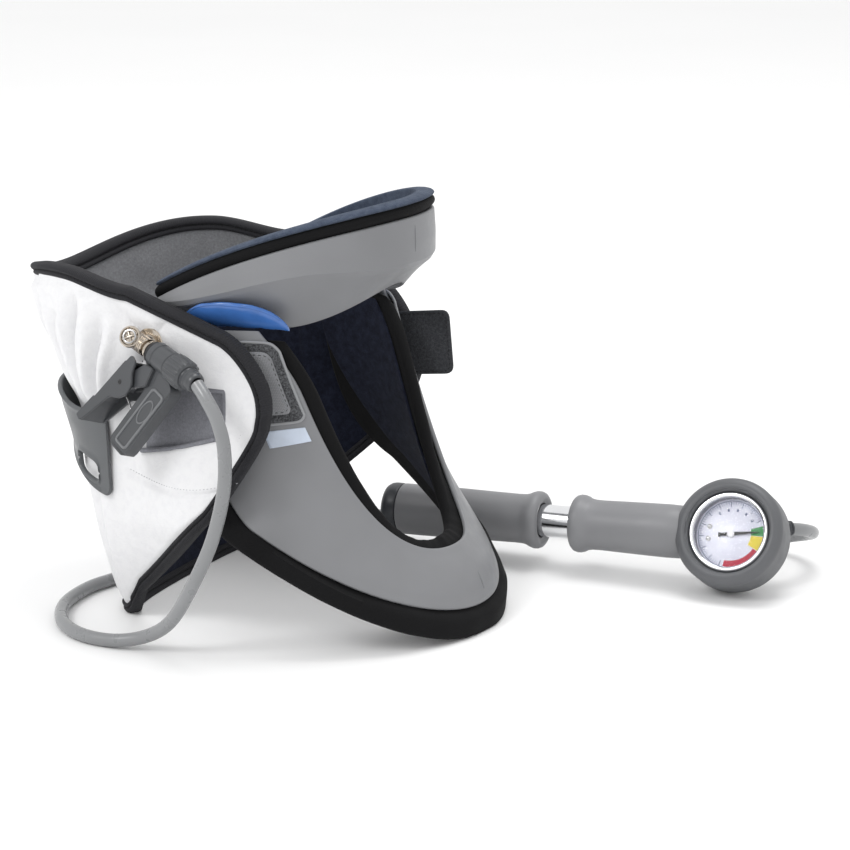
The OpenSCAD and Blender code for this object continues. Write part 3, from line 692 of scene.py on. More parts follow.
def build_sternum():
    shell = sternum_layer("sternum_shell_moulding", 1.0, 0, 0, 0.0, 2.4, M["shell"], 1.3, shell_relief)
    t = np.linspace(0.52, 0.80, 20)
    mark = sternum_at(np.zeros(20), t, 0.05)
    mark_rib = tube("sternum_mark", mark, mark_radius(20), M["shell"], around=10)
    far = [tube("arm_rib", sternum_at(np.full(24, s * 0.93), np.linspace(0.10, 0.86, 24), 0.0),
                0.5, M["shell"], around=8) for s in (-1, 1)]
    put(join("sternum_shell_body", [shell, mark_rib] + far), LOWER, ["sternum_shell"])
    pad = sternum_layer("sternum_foam_pad", 0.985, 8, 14.0, -2.6, 5.8, M["foam"], 2.6, foam_relief)
    put(pad, LOWER, ["sternum_foam"])
    knit = sternum_layer("sternum_knit_lining", 0.98, 1, -6, -8.55, 1.3, M["navy"], 0.8, lining_relief)
    put(knit, LOWER, ["sternum_lining"])


def level(height):
    """A constant height for arm_grid."""
    return lambda a, b: height + 0 * a


def arm_grid(w0, w1, t0, t1, off, corner=0.10):
    """Points of a patch on the arm; off(a, b) is its height and corner rounds its ends."""
    a, b = np.meshgrid(np.linspace(0, 1, 40), np.linspace(0, 1, 40), indexing="ij")
    w = lerp(w0, w1, a + corner * np.abs(2 * b - 1) ** 6 * (1 - 2 * a))
    return sternum_at(w, lerp(t0, t1, b), off(a, b))


def patch(name, front, back, material, sharp=45):
    """A closed thin sheet between two grids."""
    return loft(name, np.concatenate([front, back[:, ::-1]], axis=1), material, sharp=sharp)


def edge_round(a, b, reach):
    d = np.minimum(np.minimum(a, 1 - a), np.minimum(b, 1 - b)) / reach
    return np.sqrt(np.clip(1 - (1 - clamp01(d)) ** 2, 0.0, 1))


def grid_rim(grid):
    return np.vstack([grid[0], grid[1:, -1], grid[-1, -2::-1], grid[-2:0:-1, 0], grid[:1, 0]])


def build_patches():
    parts = []
    for s in (-1, 1):
        grid = lambda lift: arm_grid(s * 0.985, s * 0.86, 0.06, 0.50, lift)
        pile = grid(lambda a, b: 0.15 + 0.95 * edge_round(a, b, 0.05) + 0.08 * ripple(a * 40, b * 60, 5,
                                                                                      3))
        parts.append(patch("loop_pile_field", pile, grid(level(0.1)), M["loop"]))
        parts.append(tube("loop_rim", grid_rim(grid(level(0.45))), 0.75, M["loop_rim"], around=10))
    put(join("loop_patch_pair", parts), LOWER, ["loop_patches"])
    hook = lambda lift: arm_grid(-0.972, -0.875, 0.15, 0.42, lift)
    tape = patch("hook_tape_field", hook(lambda a, b: 1.5 + 1.0 * edge_round(a, b, 0.06)),
                 hook(level(1.35)), M["hook"])
    seam = grid_rim(arm_grid(-0.968, -0.879, 0.165, 0.405, level(2.35)))
    sewn = stitch_row("hook_stitches", seam, 2.6, 1.7, 0.22, M["thread"])
    put(join("hook_patch_sewn", [tape, sewn]), LOWER, ["hook_patch"])
    lab = lambda lift: arm_grid(-0.85, -0.822, 0.10, 0.46, lift, 0.02)
    label = patch("blank_label_field", lab(lambda a, b: 0.15 + 0.35 * edge_round(a, b, 0.05)),
                  lab(level(0.08)), M["label"])
    put(label, LOWER, ["blank_label"])


def rounded_outline(corners, radius, steps=7):
    """Corner points with rounded corners, in order round the plate."""
    pts = np.asarray(corners, float)
    out = []
    for i in range(len(pts)):
        p, q, r = pts[i - 1], pts[i], pts[(i + 1) % len(pts)]
        a, b = q + radius * unit(p - q), q + radius * unit(r - q)
        for t in np.linspace(0, 1, steps):
            out.append(tuple((1 - t) ** 2 * a + 2 * t * (1 - t) * q + t * t * b))
    return out


def build_tab():
    """The far fastening tab: a flat fabric end with a sewn edge, behind the far arm."""
    corners = np.array([(41.0, 101.0), (71.0, 105.0), (68.0, 138.0), (32.0, 133.0)])
    centre = np.array([53.0, 119.0])
    plate = prism("tab_cloth", np.eye(4), rounded_outline(corners, 4.5), 67.3, 69.3, M["tab"], 0.7)
    inner = rounded_outline(lerp(corners, centre, 0.09), 3.6)
    ring = np.array([(x, 67.35, z) for x, z in inner] + [(inner[0][0], 67.35, inner[0][1])])
    sewn = stitch_row("tab_stitches", ring, 2.4, 1.6, 0.25, M["thread"])
    put(join("strap_tab_sewn", [plate, sewn]), LOWER, ["strap_tab"])


build_sternum()
build_patches()
build_tab()


# ---------------------------------------------------------------- chin half

CHIN_DEG = 105  # the band runs this far round to each side of the front


def rim_z(deg):
    return 209 - 36 * (np.abs(deg) / 100) ** 2.3


def crease_z(deg):
    return np.minimum(178 - 19 * smooth((np.abs(deg) - 45) / 65), rim_z(deg) - 9.6)


def web_z(deg):
    return 165 - 15.5 * smooth(np.abs(deg) / 62) + 4 * smooth((np.abs(deg) - 65) / 40)


def chin_rows(deg):
    """[reach, half width, height, inward share, upward share] from the rim to the web's foot."""
    rim, crease, web = rim_z(deg), crease_z(deg), web_z(deg)
    return np.array([
        [88, 67, rim, 1, 0],
        [88, 67, rim - 7.6, 1, 0],
        [88.6, 68.4, lerp(rim - 7.6, crease, 0.5), 1, 0],
        [88.4, 69, crease + 1.5, 1, 0.2],
        [86.8, 67.6, crease - 1.2, 0.8, 0.6],
        [79, 60.6, lerp(crease, web, 0.55), 0.66, 0.75],
        [72, 55, web, 0.63, 0.78],
    ])


def chin_at(deg, row, off):
    """row is a fraction of the way down the profile rows."""
    rows = chin_rows(deg)
    r = np.array([np.interp(row, np.arange(7), rows[:, k]) for k in range(5)])
    a = math.radians(deg)
    return vec((r[0] - off * r[3]) * math.cos(a), (r[1] - off * r[3]) * math.sin(a), r[2] + off * r[4])


def chin_layer(name, row0, row1, low, high, material, nose, relief=None, lip=None, crisp=55):
    """A layer of the chin band between two depths, with round edges. relief(deg, row) moves both
    faces and lip(deg, row, outer) the outer one."""
    loops = []
    for deg in np.linspace(-CHIN_DEG, CHIN_DEG, 241):
        near = clamp01((CHIN_DEG - abs(deg)) / 1.6)
        k = math.sqrt(max(0.03, 1 - (1 - near) ** 2))
        share, off = rounded_section(40, nose, high - low, high)
        mid = (low + high) / 2
        row = lerp(row0, row1, share)
        outer = off < mid
        off = mid + (off - mid) * k
        if relief is not None:
            off = off + relief(deg, row) * k
        if lip is not None:
            off = off + lip(deg, row, outer) * k
        loops.append(chin_at(deg, row, off))
    return loft(name, np.array(loops), material, sharp=crisp)


def pad_lip(deg, row, outer):
    """The padding rolls outwards over the rim of the grey band."""
    return np.where(outer, -2.9 * bell(row, 0.55, 0.62), 0.0)


def build_chin():
    shell = chin_layer("chin_band", 1.0, 6.0, 0.0, 2.4, M["shell"], 0.018, crisp=16)
    mark = np.array([chin_at(-6.0, r, 0.0) for r in np.linspace(1.35, 2.5, 16)])
    rib = tube("chin_mark", mark, mark_radius(16), M["shell"], around=10)
    put(join("chin_shell_body", [shell, rib]), UPPER, ["chin_shell"])
    wave = lambda deg, row: 0.22 * ripple(np.full_like(row, deg * 1.5), row * 9, 21, 30)
    pad = chin_layer("chin_foam_roll", 0.12, 6.0, 2.6, 7.5, M["foam"], 0.05, wave, pad_lip)
    put(pad, UPPER, ["chin_foam"])
    knit = chin_layer("chin_knit_lining", -0.05, 5.9, 7.4, 9.0, M["chin_navy"], 0.03, wave)
    roll = []
    turn = 2 * np.pi * np.arange(16) / 16
    for deg in np.linspace(-CHIN_DEG + 0.5, CHIN_DEG - 0.5, 241):
        k = math.sqrt(max(0.05, 1 - (1 - clamp01((CHIN_DEG - abs(deg)) / 2.5)) ** 2))
        centre = chin_at(deg, 0.0, 4.3)
        a = math.radians(deg)
        out, up = vec(math.cos(a), math.sin(a), 0.0), vec(0, 0, 1)
        across, rise_up = np.cos(turn)[:, None], np.sin(turn)[:, None]
        roll.append(centre + k * (4.3 * across * out + (1.5 * rise_up - 0.6) * up))
    top = loft("chin_knit_roll", np.array(roll), M["chin_navy"])
    lining = put(join("chin_lining_sewn", [knit, top]), UPPER, ["chin_lining"])


build_chin()


# ---------------------------------------------------------------- side air cells

def build_side_cell(name, s, node):
    """A welded pouch: pillowed film with a flat seam and a raised inner weld line."""
    loops = []
    around = 48
    a = -s * 2 * np.pi * np.arange(around) / around
    for q in np.linspace(-0.985, 0.985, 90):
        k = math.sqrt(1 - abs(q) ** 2.6)
        x = 21 + 25 * q
        out = 67 - 0.2 * x
        weld = 1 + 0.10 * bump(np.cos(a), 0.15, 0.10) - 0.10 * bump(np.cos(a), -0.12, 0.16)
        y = out + 3.3 * k * np.cos(a) * weld
        z = 151.4 + 7 * k + 6.8 * k * np.sin(a) + 0.25 * ripple(np.full_like(a, x), y * 3, 31, 14)
        loops.append(vec(x, s * (y + 0.6 * (z - 158)), z))
    film_skin = loft(name + "_film", np.array(loops), M["cell"], sharp=70)
    q = np.linspace(-0.9, 0.9, 80)
    k = np.sqrt(1 - np.abs(q) ** 2.6)
    x = 21 + 25 * q
    y = 67 - 0.2 * x + 3.0 * k * math.cos(1.0)
    z = 151.4 + 7 * k + 6.8 * k * math.sin(1.0)
    line = vec(x, s * (y + 0.6 * (z - 158)), z)
    seam = tube(name + "_seam", line, 0.55, M["cell"], around=8)
    cell = join(name + "_pouch", [film_skin, seam])
    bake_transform(cell)
    put(cell, None, [node])


build_side_cell("near_cell", -1, "side_air_cell_right")
build_side_cell("far_cell", 1, "side_air_cell_left")


# ---------------------------------------------------------------- rear panel

# s is the distance round the panel from its middle and z the height, both in mm.
PANEL_X = -30.0     # where the back's curve meets the two flat flaps
ARC_S = 110.0       # the length of the curve to one side
FLAP_S = 160.0      # the centre of the flap's round end
FLAP_R = 27.0
FLAP_Z = 112.0
BINDING_W = 5.0
COLS = 26           # columns to one side: 20 across and 6 round the flap's end
WINDOW_S = 140.0    # the place of the side window, and of the valve's creases


def nape_reach(z):
    return 22 + 0.36 * z + 0.0004 * z * z - 7 * bell(z, 108, 34)


def panel_w(x, z):
    return 76 - 10 * clamp01(1 - z / 60) ** 2 + 17 * bell(z, 68, 62) * smooth((x + 42) / 62)


def panel_raw(s, z):
    q = np.abs(s) / ARC_S
    k = 0.34 * clamp01(1 - z / 130)
    c, d = np.cos(np.pi / 2 * q), np.sin(np.pi / 2 * q)
    x_arc = PANEL_X - nape_reach(z) * c * (1 + k * d * d)
    x = np.where(q < 1, x_arc, PANEL_X + np.abs(s) - ARC_S)
    wide = np.where(q < 1, d * (1 + k * c * c), 1.0)
    return vec(x, side(s) * panel_w(x, z) * wide, z)


def panel_at(s, z, off):
    s, z, off = np.broadcast_arrays(np.asarray(s, float), np.asarray(z, float), np.asarray(off, float))
    e = 0.5
    a = panel_raw(s + e, z) - panel_raw(s - e, z)
    b = panel_raw(s, z + e) - panel_raw(s, z - e)
    p = panel_raw(s, z) + off[..., None] * unit(np.cross(b, a))
    return vec(p[..., 0], p[..., 1], z)


def edge_top(s):
    s = np.abs(s)
    return 158 + 15 * smooth(s / 80) - 5 * smooth((s - 80) / 30) - 0.32 * np.maximum(0, s - ARC_S)


def edge_low(s):
    s = np.abs(s)
    foot = np.where(s < 75, 0.0, 0.0131 * (s - 75) ** 2)
    return np.where(s < 111, foot, 17 + 0.94 * (s - 111))


def end_turn(c):
    return np.radians(82 * np.maximum(0, np.abs(c) - 20) / 6)


def col_s(c, inset):
    round_end = side(c) * (FLAP_S + (FLAP_R - inset) * np.sin(end_turn(c)))
    return np.where(np.abs(c) <= 20, c * 8.0, round_end)


def col_top(c, inset):
    return FLAP_Z + (edge_top(col_s(c, 0)) - FLAP_Z - 1.1 * inset) * np.cos(end_turn(c))


def col_low(c, inset):
    low = edge_low(col_s(c, 0))
    return FLAP_Z - (FLAP_Z - low - np.where(low > 5, 1.3, 1.0) * inset) * np.cos(end_turn(c))


def panel_wall(s, z):
    return 5 + 8 * bell(s, 0, 88) * bell(z, 86, 62)


FOLDS = [
    # [place round the panel at the rim, the same at the strap, half width, depth, top, foot]
    (18.0, 8.0, 2.6, 4.4, 166.0, 96.0), (36.0, 31.0, 2.4, 4.8, 164.0, 100.0),
    (55.0, 50.0, 2.2, 5.2, 168.0, 102.0), (69.0, 66.0, 2.0, 4.0, 150.0, 98.0),
    (84.0, 76.0, 2.2, 4.6, 164.0, 106.0), (97.0, 88.0, 1.8, 3.2, 154.0, 108.0),
]


def crease_field(s, z):
    """Folds of the white cover, in mm of height: gathers that hang from the rim to the strap,
    creases that run out from the valve, and soft pleats under the strap."""
    t = np.abs(s)
    folds = 0.0 * z
    for rim_s, foot_s, half, depth, top, foot in FOLDS:
        u = clamp01((z - foot) / (top - foot))
        middle = lerp(foot_s, rim_s, u) + 1.6 * np.sin(u * 6 + rim_s)
        swell = np.sin(np.pi * u) ** 0.6
        d = (t - middle) / half
        ridge = np.exp(-((np.abs(d) - 2.9) / 1.7) ** 2)
        folds = folds + depth * swell * (0.62 * ridge - 1.45 * np.exp(-np.abs(d) ** 1.15))
    folds = folds + 2.6 * smooth((z - 96) / 22) * (1 - smooth((t - 92) / 16))
    pleat = np.abs(np.sin(np.pi * (t + 3 * np.sin(z / 23)) / 26)) ** 0.7
    under_strap = smooth((z - 4) / 14) * (1 - smooth((z - 70) / 12))
    pleats = 2.6 * (pleat - 0.7) * under_strap * (1 - smooth((t - 84) / 18))
    x = t - WINDOW_S
    dx, dz = x + 16, z - 144
    far = np.hypot(dx, dz)
    angle = np.arctan2(dz, dx)
    rays = np.abs(np.sin(2.0 * angle + 0.9 + 0.02 * far)) ** 0.55
    valve = 4.2 * (rays - 0.7) * smooth((far - 4) / 6) * np.exp(-(far / 30) ** 2)
    drape = 0.35 * ripple(s, z, 41, 46) + 0.15 * ripple(s, z, 42, 15)
    return folds + pleats + valve + drape


WINDOW = [(-21.0, 91.0), (25.5, 104.5), (22.5, 124.0), (-21.0, 125.0)]


def window_share(a, b):
    """Place along the side window and height in it, from its corner points and a little sag."""
    low = lerp(np.array(WINDOW[0]), np.array(WINDOW[1]), a[..., None])
    high = lerp(np.array(WINDOW[3]), np.array(WINDOW[2]), a[..., None])
    sag = np.sin(np.pi * a) * -0.8
    p = lerp(low, high, b[..., None])
    return p[..., 0], p[..., 1] + sag


def window_floor(x):
    return np.interp(x, [WINDOW[0][0], WINDOW[1][0]], [WINDOW[0][1], WINDOW[1][1]])


def window_depth(s, z):
    """1 inside the window, where the cover is cut back, and 0 outside it."""
    x = np.abs(s) - WINDOW_S
    low = window_floor(x)
    inside = smooth((x - WINDOW[0][0] + 1) / 2) * smooth((24.5 - x) / 2)
    return inside * smooth((z - low + 1.8) / 1.4) * smooth((125 - z) / 2)


def window_margin(s, z):
    """The stretch of cover round the window, which its piping keeps flat."""
    x = np.abs(s) - WINDOW_S
    low = window_floor(x)
    across = smooth((x - WINDOW[0][0] + 9) / 7) * smooth((33 - x) / 7)
    return across * smooth((z - low + 9) / 7) * smooth((133 - z) / 7)


def lower_seam(x):
    return 75.5 + 0.0042 * (x + 6) ** 2


def cover_lift(s, z):
    """Height of the white cover over the panel's outer face."""
    x = np.abs(s) - WINDOW_S
    strap = bell(z, strap_mid(s), 24) * (1 - smooth((np.abs(s) - 90) / 12))
    d = crease_field(s, z) * (1 - 0.8 * strap) - 1.6 * strap * bell(np.abs(s), 92, 30)
    seam = bump(z, lower_seam(x), 1.1) * smooth((x + 34) / 6) * smooth((44 - x) / 6)
    puff = 1.3 * bell(z, 60, 16) * smooth((x + 36) / 10) * smooth((40 - x) / 10)
    d = lerp(d - 1.3 * seam + puff, 0.3, window_margin(s, z))
    return lerp(d, -2.3, window_depth(s, z))


def share_grid(n, inset, rows, row_low=0.0, row_high=1.0):
    c = np.linspace(-COLS, COLS, n)[:, None] * np.ones((1, rows))
    j = np.linspace(row_low, row_high, rows)[None, :] * np.ones((n, 1))
    z = lerp(col_low(c, inset), col_top(c, inset), j)
    return col_s(c, inset), z


COVER_COLS, COVER_ROWS = 601, 92
RIM_CALM = 0.045                # share of the height over which the folds fade at each edge
LIFT_LIMITS = (-3.2, 6.6)       # mm, kept between the lining and the strap
BACK_LIMIT = -3.7


def column_fade(cols, reach):
    """0 at the two flap ends, and 1 from reach columns in."""
    return clamp01((COLS - np.abs(np.linspace(-COLS, COLS, cols)))[:, None] / reach)


def build_cover():
    s, z = share_grid(COVER_COLS, BINDING_W - 1.2, COVER_ROWS)
    up = np.linspace(0, 1, COVER_ROWS)[None, :]
    to_rim = clamp01(np.minimum(up, 1 - up) / RIM_CALM)
    calm = smooth(to_rim) * smooth(column_fade(COVER_COLS, 2.2))
    height = cover_lift(s, z)
    lift = height * (0.22 + 0.78 * calm) + 0.9 * np.sin(np.pi * clamp01(calm * 0.7))
    lift = np.clip(lift * calm + 0.45 * height * (1 - calm), *LIFT_LIMITS)
    front = panel_at(s, z, lift)
    back = panel_at(s, z, np.maximum(lift - 1.9, BACK_LIMIT))
    cover = patch("rear_cover_leatherette", front, back, M["white"], 70)
    rise(cover, ["rear_cover_lower", "rear_cover_upper"])


def build_window(k, tag):
    """The velour field in the cover's side window, with its piped and stitched edge."""
    a, b = np.meshgrid(np.linspace(0, 1, 60), np.linspace(0, 1, 44), indexing="ij")
    x, z = window_share(a, b)
    sag = -1.3 + 0.5 * np.sin(np.pi * a) * np.sin(np.pi * b) + 0.3 * ripple(x, z, 51, 16)
    s = k * (WINDOW_S + x)
    field = patch("window_velour_" + tag, panel_at(s, z, sag), panel_at(s, z, sag - 0.5), M["window"])
    along, up = np.linspace(-0.02, 1.02, 60), np.linspace(-0.03, 1.03, 40)
    back = np.linspace(1.02, -0.02, 60)
    low, right, high = [
        np.array([window_share(np.array(p), np.array(q)) for p, q in pairs]) for pairs in (
            [(p, 0.0) for p in along], [(1.02, q) for q in up], [(p, 1.04) for p in back])]
    rim = np.vstack([low, right, high])
    bead = tube("window_piping_" + tag, panel_at(k * (WINDOW_S + rim[:, 0]), rim[:, 1], 0.2), 1.2,
                M["window"], around=10)
    seam = panel_at(k * (WINDOW_S + low[:, 0]), low[:, 1] - 2.6, 0.35)
    near = stitch_row("window_stitches_" + tag, seam, 1.9, 1.2, 0.2, M["white_thread"])
    rise(join("side_window_" + tag, [field, bead, near]))


def build_perforations():
    """Needle holes that follow the binding on each flap, and the stitches of the lower seam."""
    rows = []
    for k in (-1, 1):
        z = np.linspace(88, 134, 200)
        reach = np.interp(z, [88, 98, 112, 124, 134], [168, 173.5, 176.5, 174, 167.5])
        rows.append(stitch_row("needle_dots", panel_at(k * reach, z, 0.35), 1.6, 0.55, 0.26,
                               M["thread"]))
        x = np.linspace(-30, 38, 120)
        seam = panel_at(k * (WINDOW_S + x), lower_seam(x) + 2.3, 0.4)
        rows.append(stitch_row("seam_dots", seam, 2.0, 1.2, 0.2, M["white_thread"]))
    rise(join("cover_stitching", rows))


FLAP_FROM = 117.0               # beyond this place the lining is navy up to the rim
NAVY_ROWS = 49                  # rows of navy knit below the velour
LINING_COLS, LINING_ROWS = 361, 64


def build_lining():
    """The neck side: grey velour along the rim, navy knit below it and on the flaps, sewn seams."""
    s, z = share_grid(LINING_COLS, BINDING_W - 1.0, LINING_ROWS)
    up = np.linspace(0, 1, LINING_ROWS)[None, :]
    calm = smooth(clamp01(np.minimum(up, 1 - up) / 0.08)) * smooth(column_fade(LINING_COLS, 2))
    dents = 0.7 * ripple(s, z, 61, 42) + 0.3 * ripple(s, z, 62, 16)
    joint = bump(np.arange(LINING_ROWS)[None, :], NAVY_ROWS, 0.9) * (np.abs(s) < FLAP_FROM)
    seam = -1.2 * bump(np.abs(s), 74, 1.6) - 1.3 * bump(np.abs(s), FLAP_FROM, 1.5) - 1.1 * joint
    height = -panel_wall(s, z) - (0.5 + dents + seam) * calm
    liner = patch("nape_velour_lining", panel_at(s, z, height), panel_at(s, z, height + 2.0),
                  M["velour"], 70)
    liner.data.materials.append(M["navy"])
    for face in liner.data.polygons:
        column, row = divmod(face.vertices[0], 2 * LINING_ROWS)
        navy = abs(s[column, 0]) > FLAP_FROM or min(row, LINING_ROWS - 1) < NAVY_ROWS
        face.material_index = int(column < LINING_COLS - 1 and navy)
    rise(liner, ["nape_lining_lower", "nape_lining_upper"])


# The binding's section from the outer face round the edge to the inner face:
# [share of the width in from the edge, height over the face, 0 outside or 1 inside].
BINDING_SECTION = [
    (1.04, -0.6, 0), (1.04, 0.35, 0), (0.97, 1.15, 0), (0.84, 1.65, 0), (0.70, 1.6, 0), (0.60, 1.15, 0),
    (0.54, 0.62, 0), (0.48, 1.15, 0), (0.38, 1.75, 0), (0.22, 1.95, 0), (0.06, 1.6, 0), (-0.08, 0.7, 0),
    (-0.16, -0.6, 0),
]
BINDING_SECTION += [(share, -height, 1) for share, height, _ in BINDING_SECTION[::-1]]
BINDING_COLS = 620
GROOVE = (0.54, 0.95)           # the stitches' share of the width and height over the face


def binding_point(c, top, share):
    """Points of the binding at column c on the top or the low edge."""
    fn = col_top if top else col_low
    s0, z0 = col_s(c, 0.0), fn(c, 0.0)
    s1, z1 = col_s(c, BINDING_W), fn(c, BINDING_W)
    return lerp(s0, s1, share), lerp(z0, z1, share)


def build_binding():
    """The folded tape round the panel's edge, with a row of stitches on each face."""
    sec = np.array(BINDING_SECTION)
    loops, groove_out, groove_in = [], [], []
    for is_top, end in ((True, COLS), (False, -COLS)):
        for c in np.linspace(-end, end, BINDING_COLS):
            s, z = binding_point(np.full(len(sec), c), is_top, sec[:, 0])
            off = np.where(sec[:, 2] > 0, -panel_wall(s, z), 0.0) + sec[:, 1]
            loops.append(panel_at(s, z if is_top else np.maximum(z, 0.3), off))
            s, z = binding_point(np.array(c), is_top, GROOVE[0])
            groove_out.append(panel_at(s, z, GROOVE[1]))
            groove_in.append(panel_at(s, z, -panel_wall(s, z) - GROOVE[1]))
    tape = loft("rear_binding_tape", loops, M["binding"], closed=True, sharp=80)
    sewn = [stitch_row("binding_stitches", groove, 2.6, 1.7, 0.2, M["thread"])
            for groove in (groove_out, groove_in)]
    rise(join("rear_binding_sewn", [tape] + sewn),
         ["rear_binding_lower", "rear_binding_upper"])


def build_air_bladder():
    """The bladder between the cover and the lining, welded into two quilted bays."""
    a, b = np.meshgrid(np.linspace(-74, 74, 90), np.linspace(42, 112, 50), indexing="ij")
    puff = bell(a, 0, 78) * bell(b, 77, 40)
    wall = panel_wall(a, b)
    half = np.maximum(0.25, (wall - 5.6) / 2) * (0.3 + 0.7 * puff) * (1 - 0.5 * bump(a, 0, 2.5))
    middle = -wall / 2 + 0.15
    skin = patch("rear_bladder", panel_at(a, b, middle + half), panel_at(a, b, middle - half),
                 M["cell"])
    rise(skin, ["rear_air_cell"])


def strap_mid(s):
    return 99.0 - 13.0 * smooth((np.abs(s) - 36) / 52)


def strap_half(s):
    return 12.5 + 10 * (np.abs(s) / 96) ** 2


def strap_rise(s, z):
    """The hoop stands off the panel along its upper edge and lies on it along the lower one."""
    return 1.2 + 7 * bell(np.abs(s), 56, 50) * (0.25 + 0.75 * smooth((z - 78) / 30))


SLOT_FROM, SLOT_TO = 69.0, 89.0


def slot_edges(s):
    """The middle and half height of the strap's end slot, which closes at both ends."""
    u = clamp01((np.abs(s) - SLOT_FROM) / (SLOT_TO - SLOT_FROM))
    return lerp(79.0, 75.0, u), 4.6 * (1 - np.abs(2 * u - 1) ** 4) ** 0.3


def strap_piece(name, s, low, high):
    """One stretch of the strap between two edge lines, with rounded edges and a raised rim."""
    loops = []
    for x, z0, z1 in zip(s, low, high):
        width = z1 - z0
        share, off = rounded_section(20, min(0.3, 0.9 / width), 1.9, 1.9)
        from_edge = np.minimum(share, 1 - share) * width
        rim = 0.8 * np.exp(-((from_edge - 1.2) / 1.0) ** 2) * (off > 0.95)
        z = lerp(z0, z1, share)
        loops.append(panel_at(np.full_like(share, x), z, strap_rise(x, z) + off + rim))
    return loft(name, np.array(loops), M["strap"], sharp=60)


def build_strap():
    """The moulded rear strap: waisted in the middle, hooped off the panel, with a slot at each end."""
    def edges(s):
        half = strap_half(s) * (1 - 0.14 * clamp01((np.abs(s) - 91) / 5.0) ** 2.5)
        return strap_mid(s) - half, strap_mid(s) + half

    middle = np.linspace(-SLOT_FROM, SLOT_FROM, 170)
    parts = [strap_piece("strap_middle", middle, *edges(middle))]
    for k in (-1, 1):
        end = k * np.linspace(SLOT_TO, 96, 16)
        parts.append(strap_piece("strap_end", end, *edges(end)))
        rail = k * np.linspace(SLOT_FROM, SLOT_TO, 60)
        mid, half = slot_edges(rail)
        low, high = edges(rail)
        parts.append(strap_piece("strap_rail_low", rail, low, mid - half))
        parts.append(strap_piece("strap_rail_high", rail, mid + half, high))
    put(join("rear_strap_moulding", parts), LOWER, ["rear_strap"])


build_cover()
for flank, label in ((-1, "near"), (1, "far")):
    build_window(flank, label)
build_perforations()
build_lining()
build_binding()
build_air_bladder()
build_strap()


# ---------------------------------------------------------------- valve and chuck

VALVE = frame_matrix((-22, -80, 145), ("Z", -21.8), ("Y", 14.5), ("X", -20))
PIVOT = (8.7, 0.0, -19.0)
LEVER_TURN = 22.7


def wire(name, points, radius, material, steps=8):
    """A round wire along a smooth line through the points."""
    return tube(name, catmull(points, steps), radius, material, around=10)


def build_valve():
    """The plated valve: a threaded stem on a flange, a slotted face and a clamp ring."""
    thread = [[0, 2.7], [0, 4.2]]
    for k in range(7):
        x = 0.6 + k * 1.15
        thread += [[x, 4.6], [x + 0.35, 4.6], [x + 0.6, 4.15], [x + 0.9, 4.15]]
    thread += [[9, 4.5], [9, 3.4], [10, 3.4], [10, 4.2], [10.3, 4.4], [11.2, 4.4], [11.5, 4.2],
               [11.5, 3.4],
               [15.6, 3.4], [16, 3.1], [16, 2.7]]
    stem = turned("valve_thread", VALVE, thread, M["nickel"])
    seat = frame_matrix((-17, -76.4, 144), ("X", 90))
    flange = turned("valve_flange", seat, [[0, 3], [0, 6.8], [0.4, 7], [1.0, 6.6], [1.3, 4.4],
                                           [4.8, 3.8], [5.5, 3.2], [5.5, 3]],
                    M["nickel"], axis="Z")
    face_at = frame_matrix((-22.6, -85.4, 148.0), ("Z", 14), ("X", 66))
    disc = turned("valve_disc", face_at, [[-5.4, 0.4], [-5.4, 4.7], [-0.4, 5.3], [0.3, 4.9], [0.5, 4.3],
                                          [-0.3, 3.8],
                                          [-0.3, 0.4]], M["nickel"], axis="Z")
    coil_t = np.linspace(0, 2 * np.pi * 3.4, 150)
    coil = to_world(face_at, vec(3.0 * np.cos(coil_t), 3.0 * np.sin(coil_t),
                                 lerp(-0.2, 0.9, coil_t / coil_t[-1])))
    spring = tube("valve_spring", coil, 0.38, M["steel"], around=8)
    bars = []
    for a in (0.4, 0.4 + math.pi / 2):
        x, y = 3.6 * math.cos(a), 3.6 * math.sin(a)
        bar = to_world(face_at, np.array([[-x, -y, 0.3], [x, y, 0.3]]))
        bars.append(tube("valve_cross", bar, 0.55, M["nickel"], around=8))
    put(join("valve_stem_plated", [stem, flange, disc, spring] + bars), LOWER, ["valve_stem"])
    pin = turned("valve_core_pin", VALVE, [[0.6, 0.2], [0.6, 2.4], [0.9, 2.6], [8.6, 2.6], [9, 2.3],
                                           [9.1, 1.2],
                                           [12.2, 1.2], [12.5, 0.9], [12.5, 0.2]], M["nickel"])
    put(pin, "valve_pin", ["valve_core"])


HANDLE = [
    (17, -2), (28, -2), (37.5, -8.5), (38.5, -11), (26.9, -47), (25.2, -49.3), (14.5, -47.7),
    (13, -45), (21.5, -16), (17, -12),
]


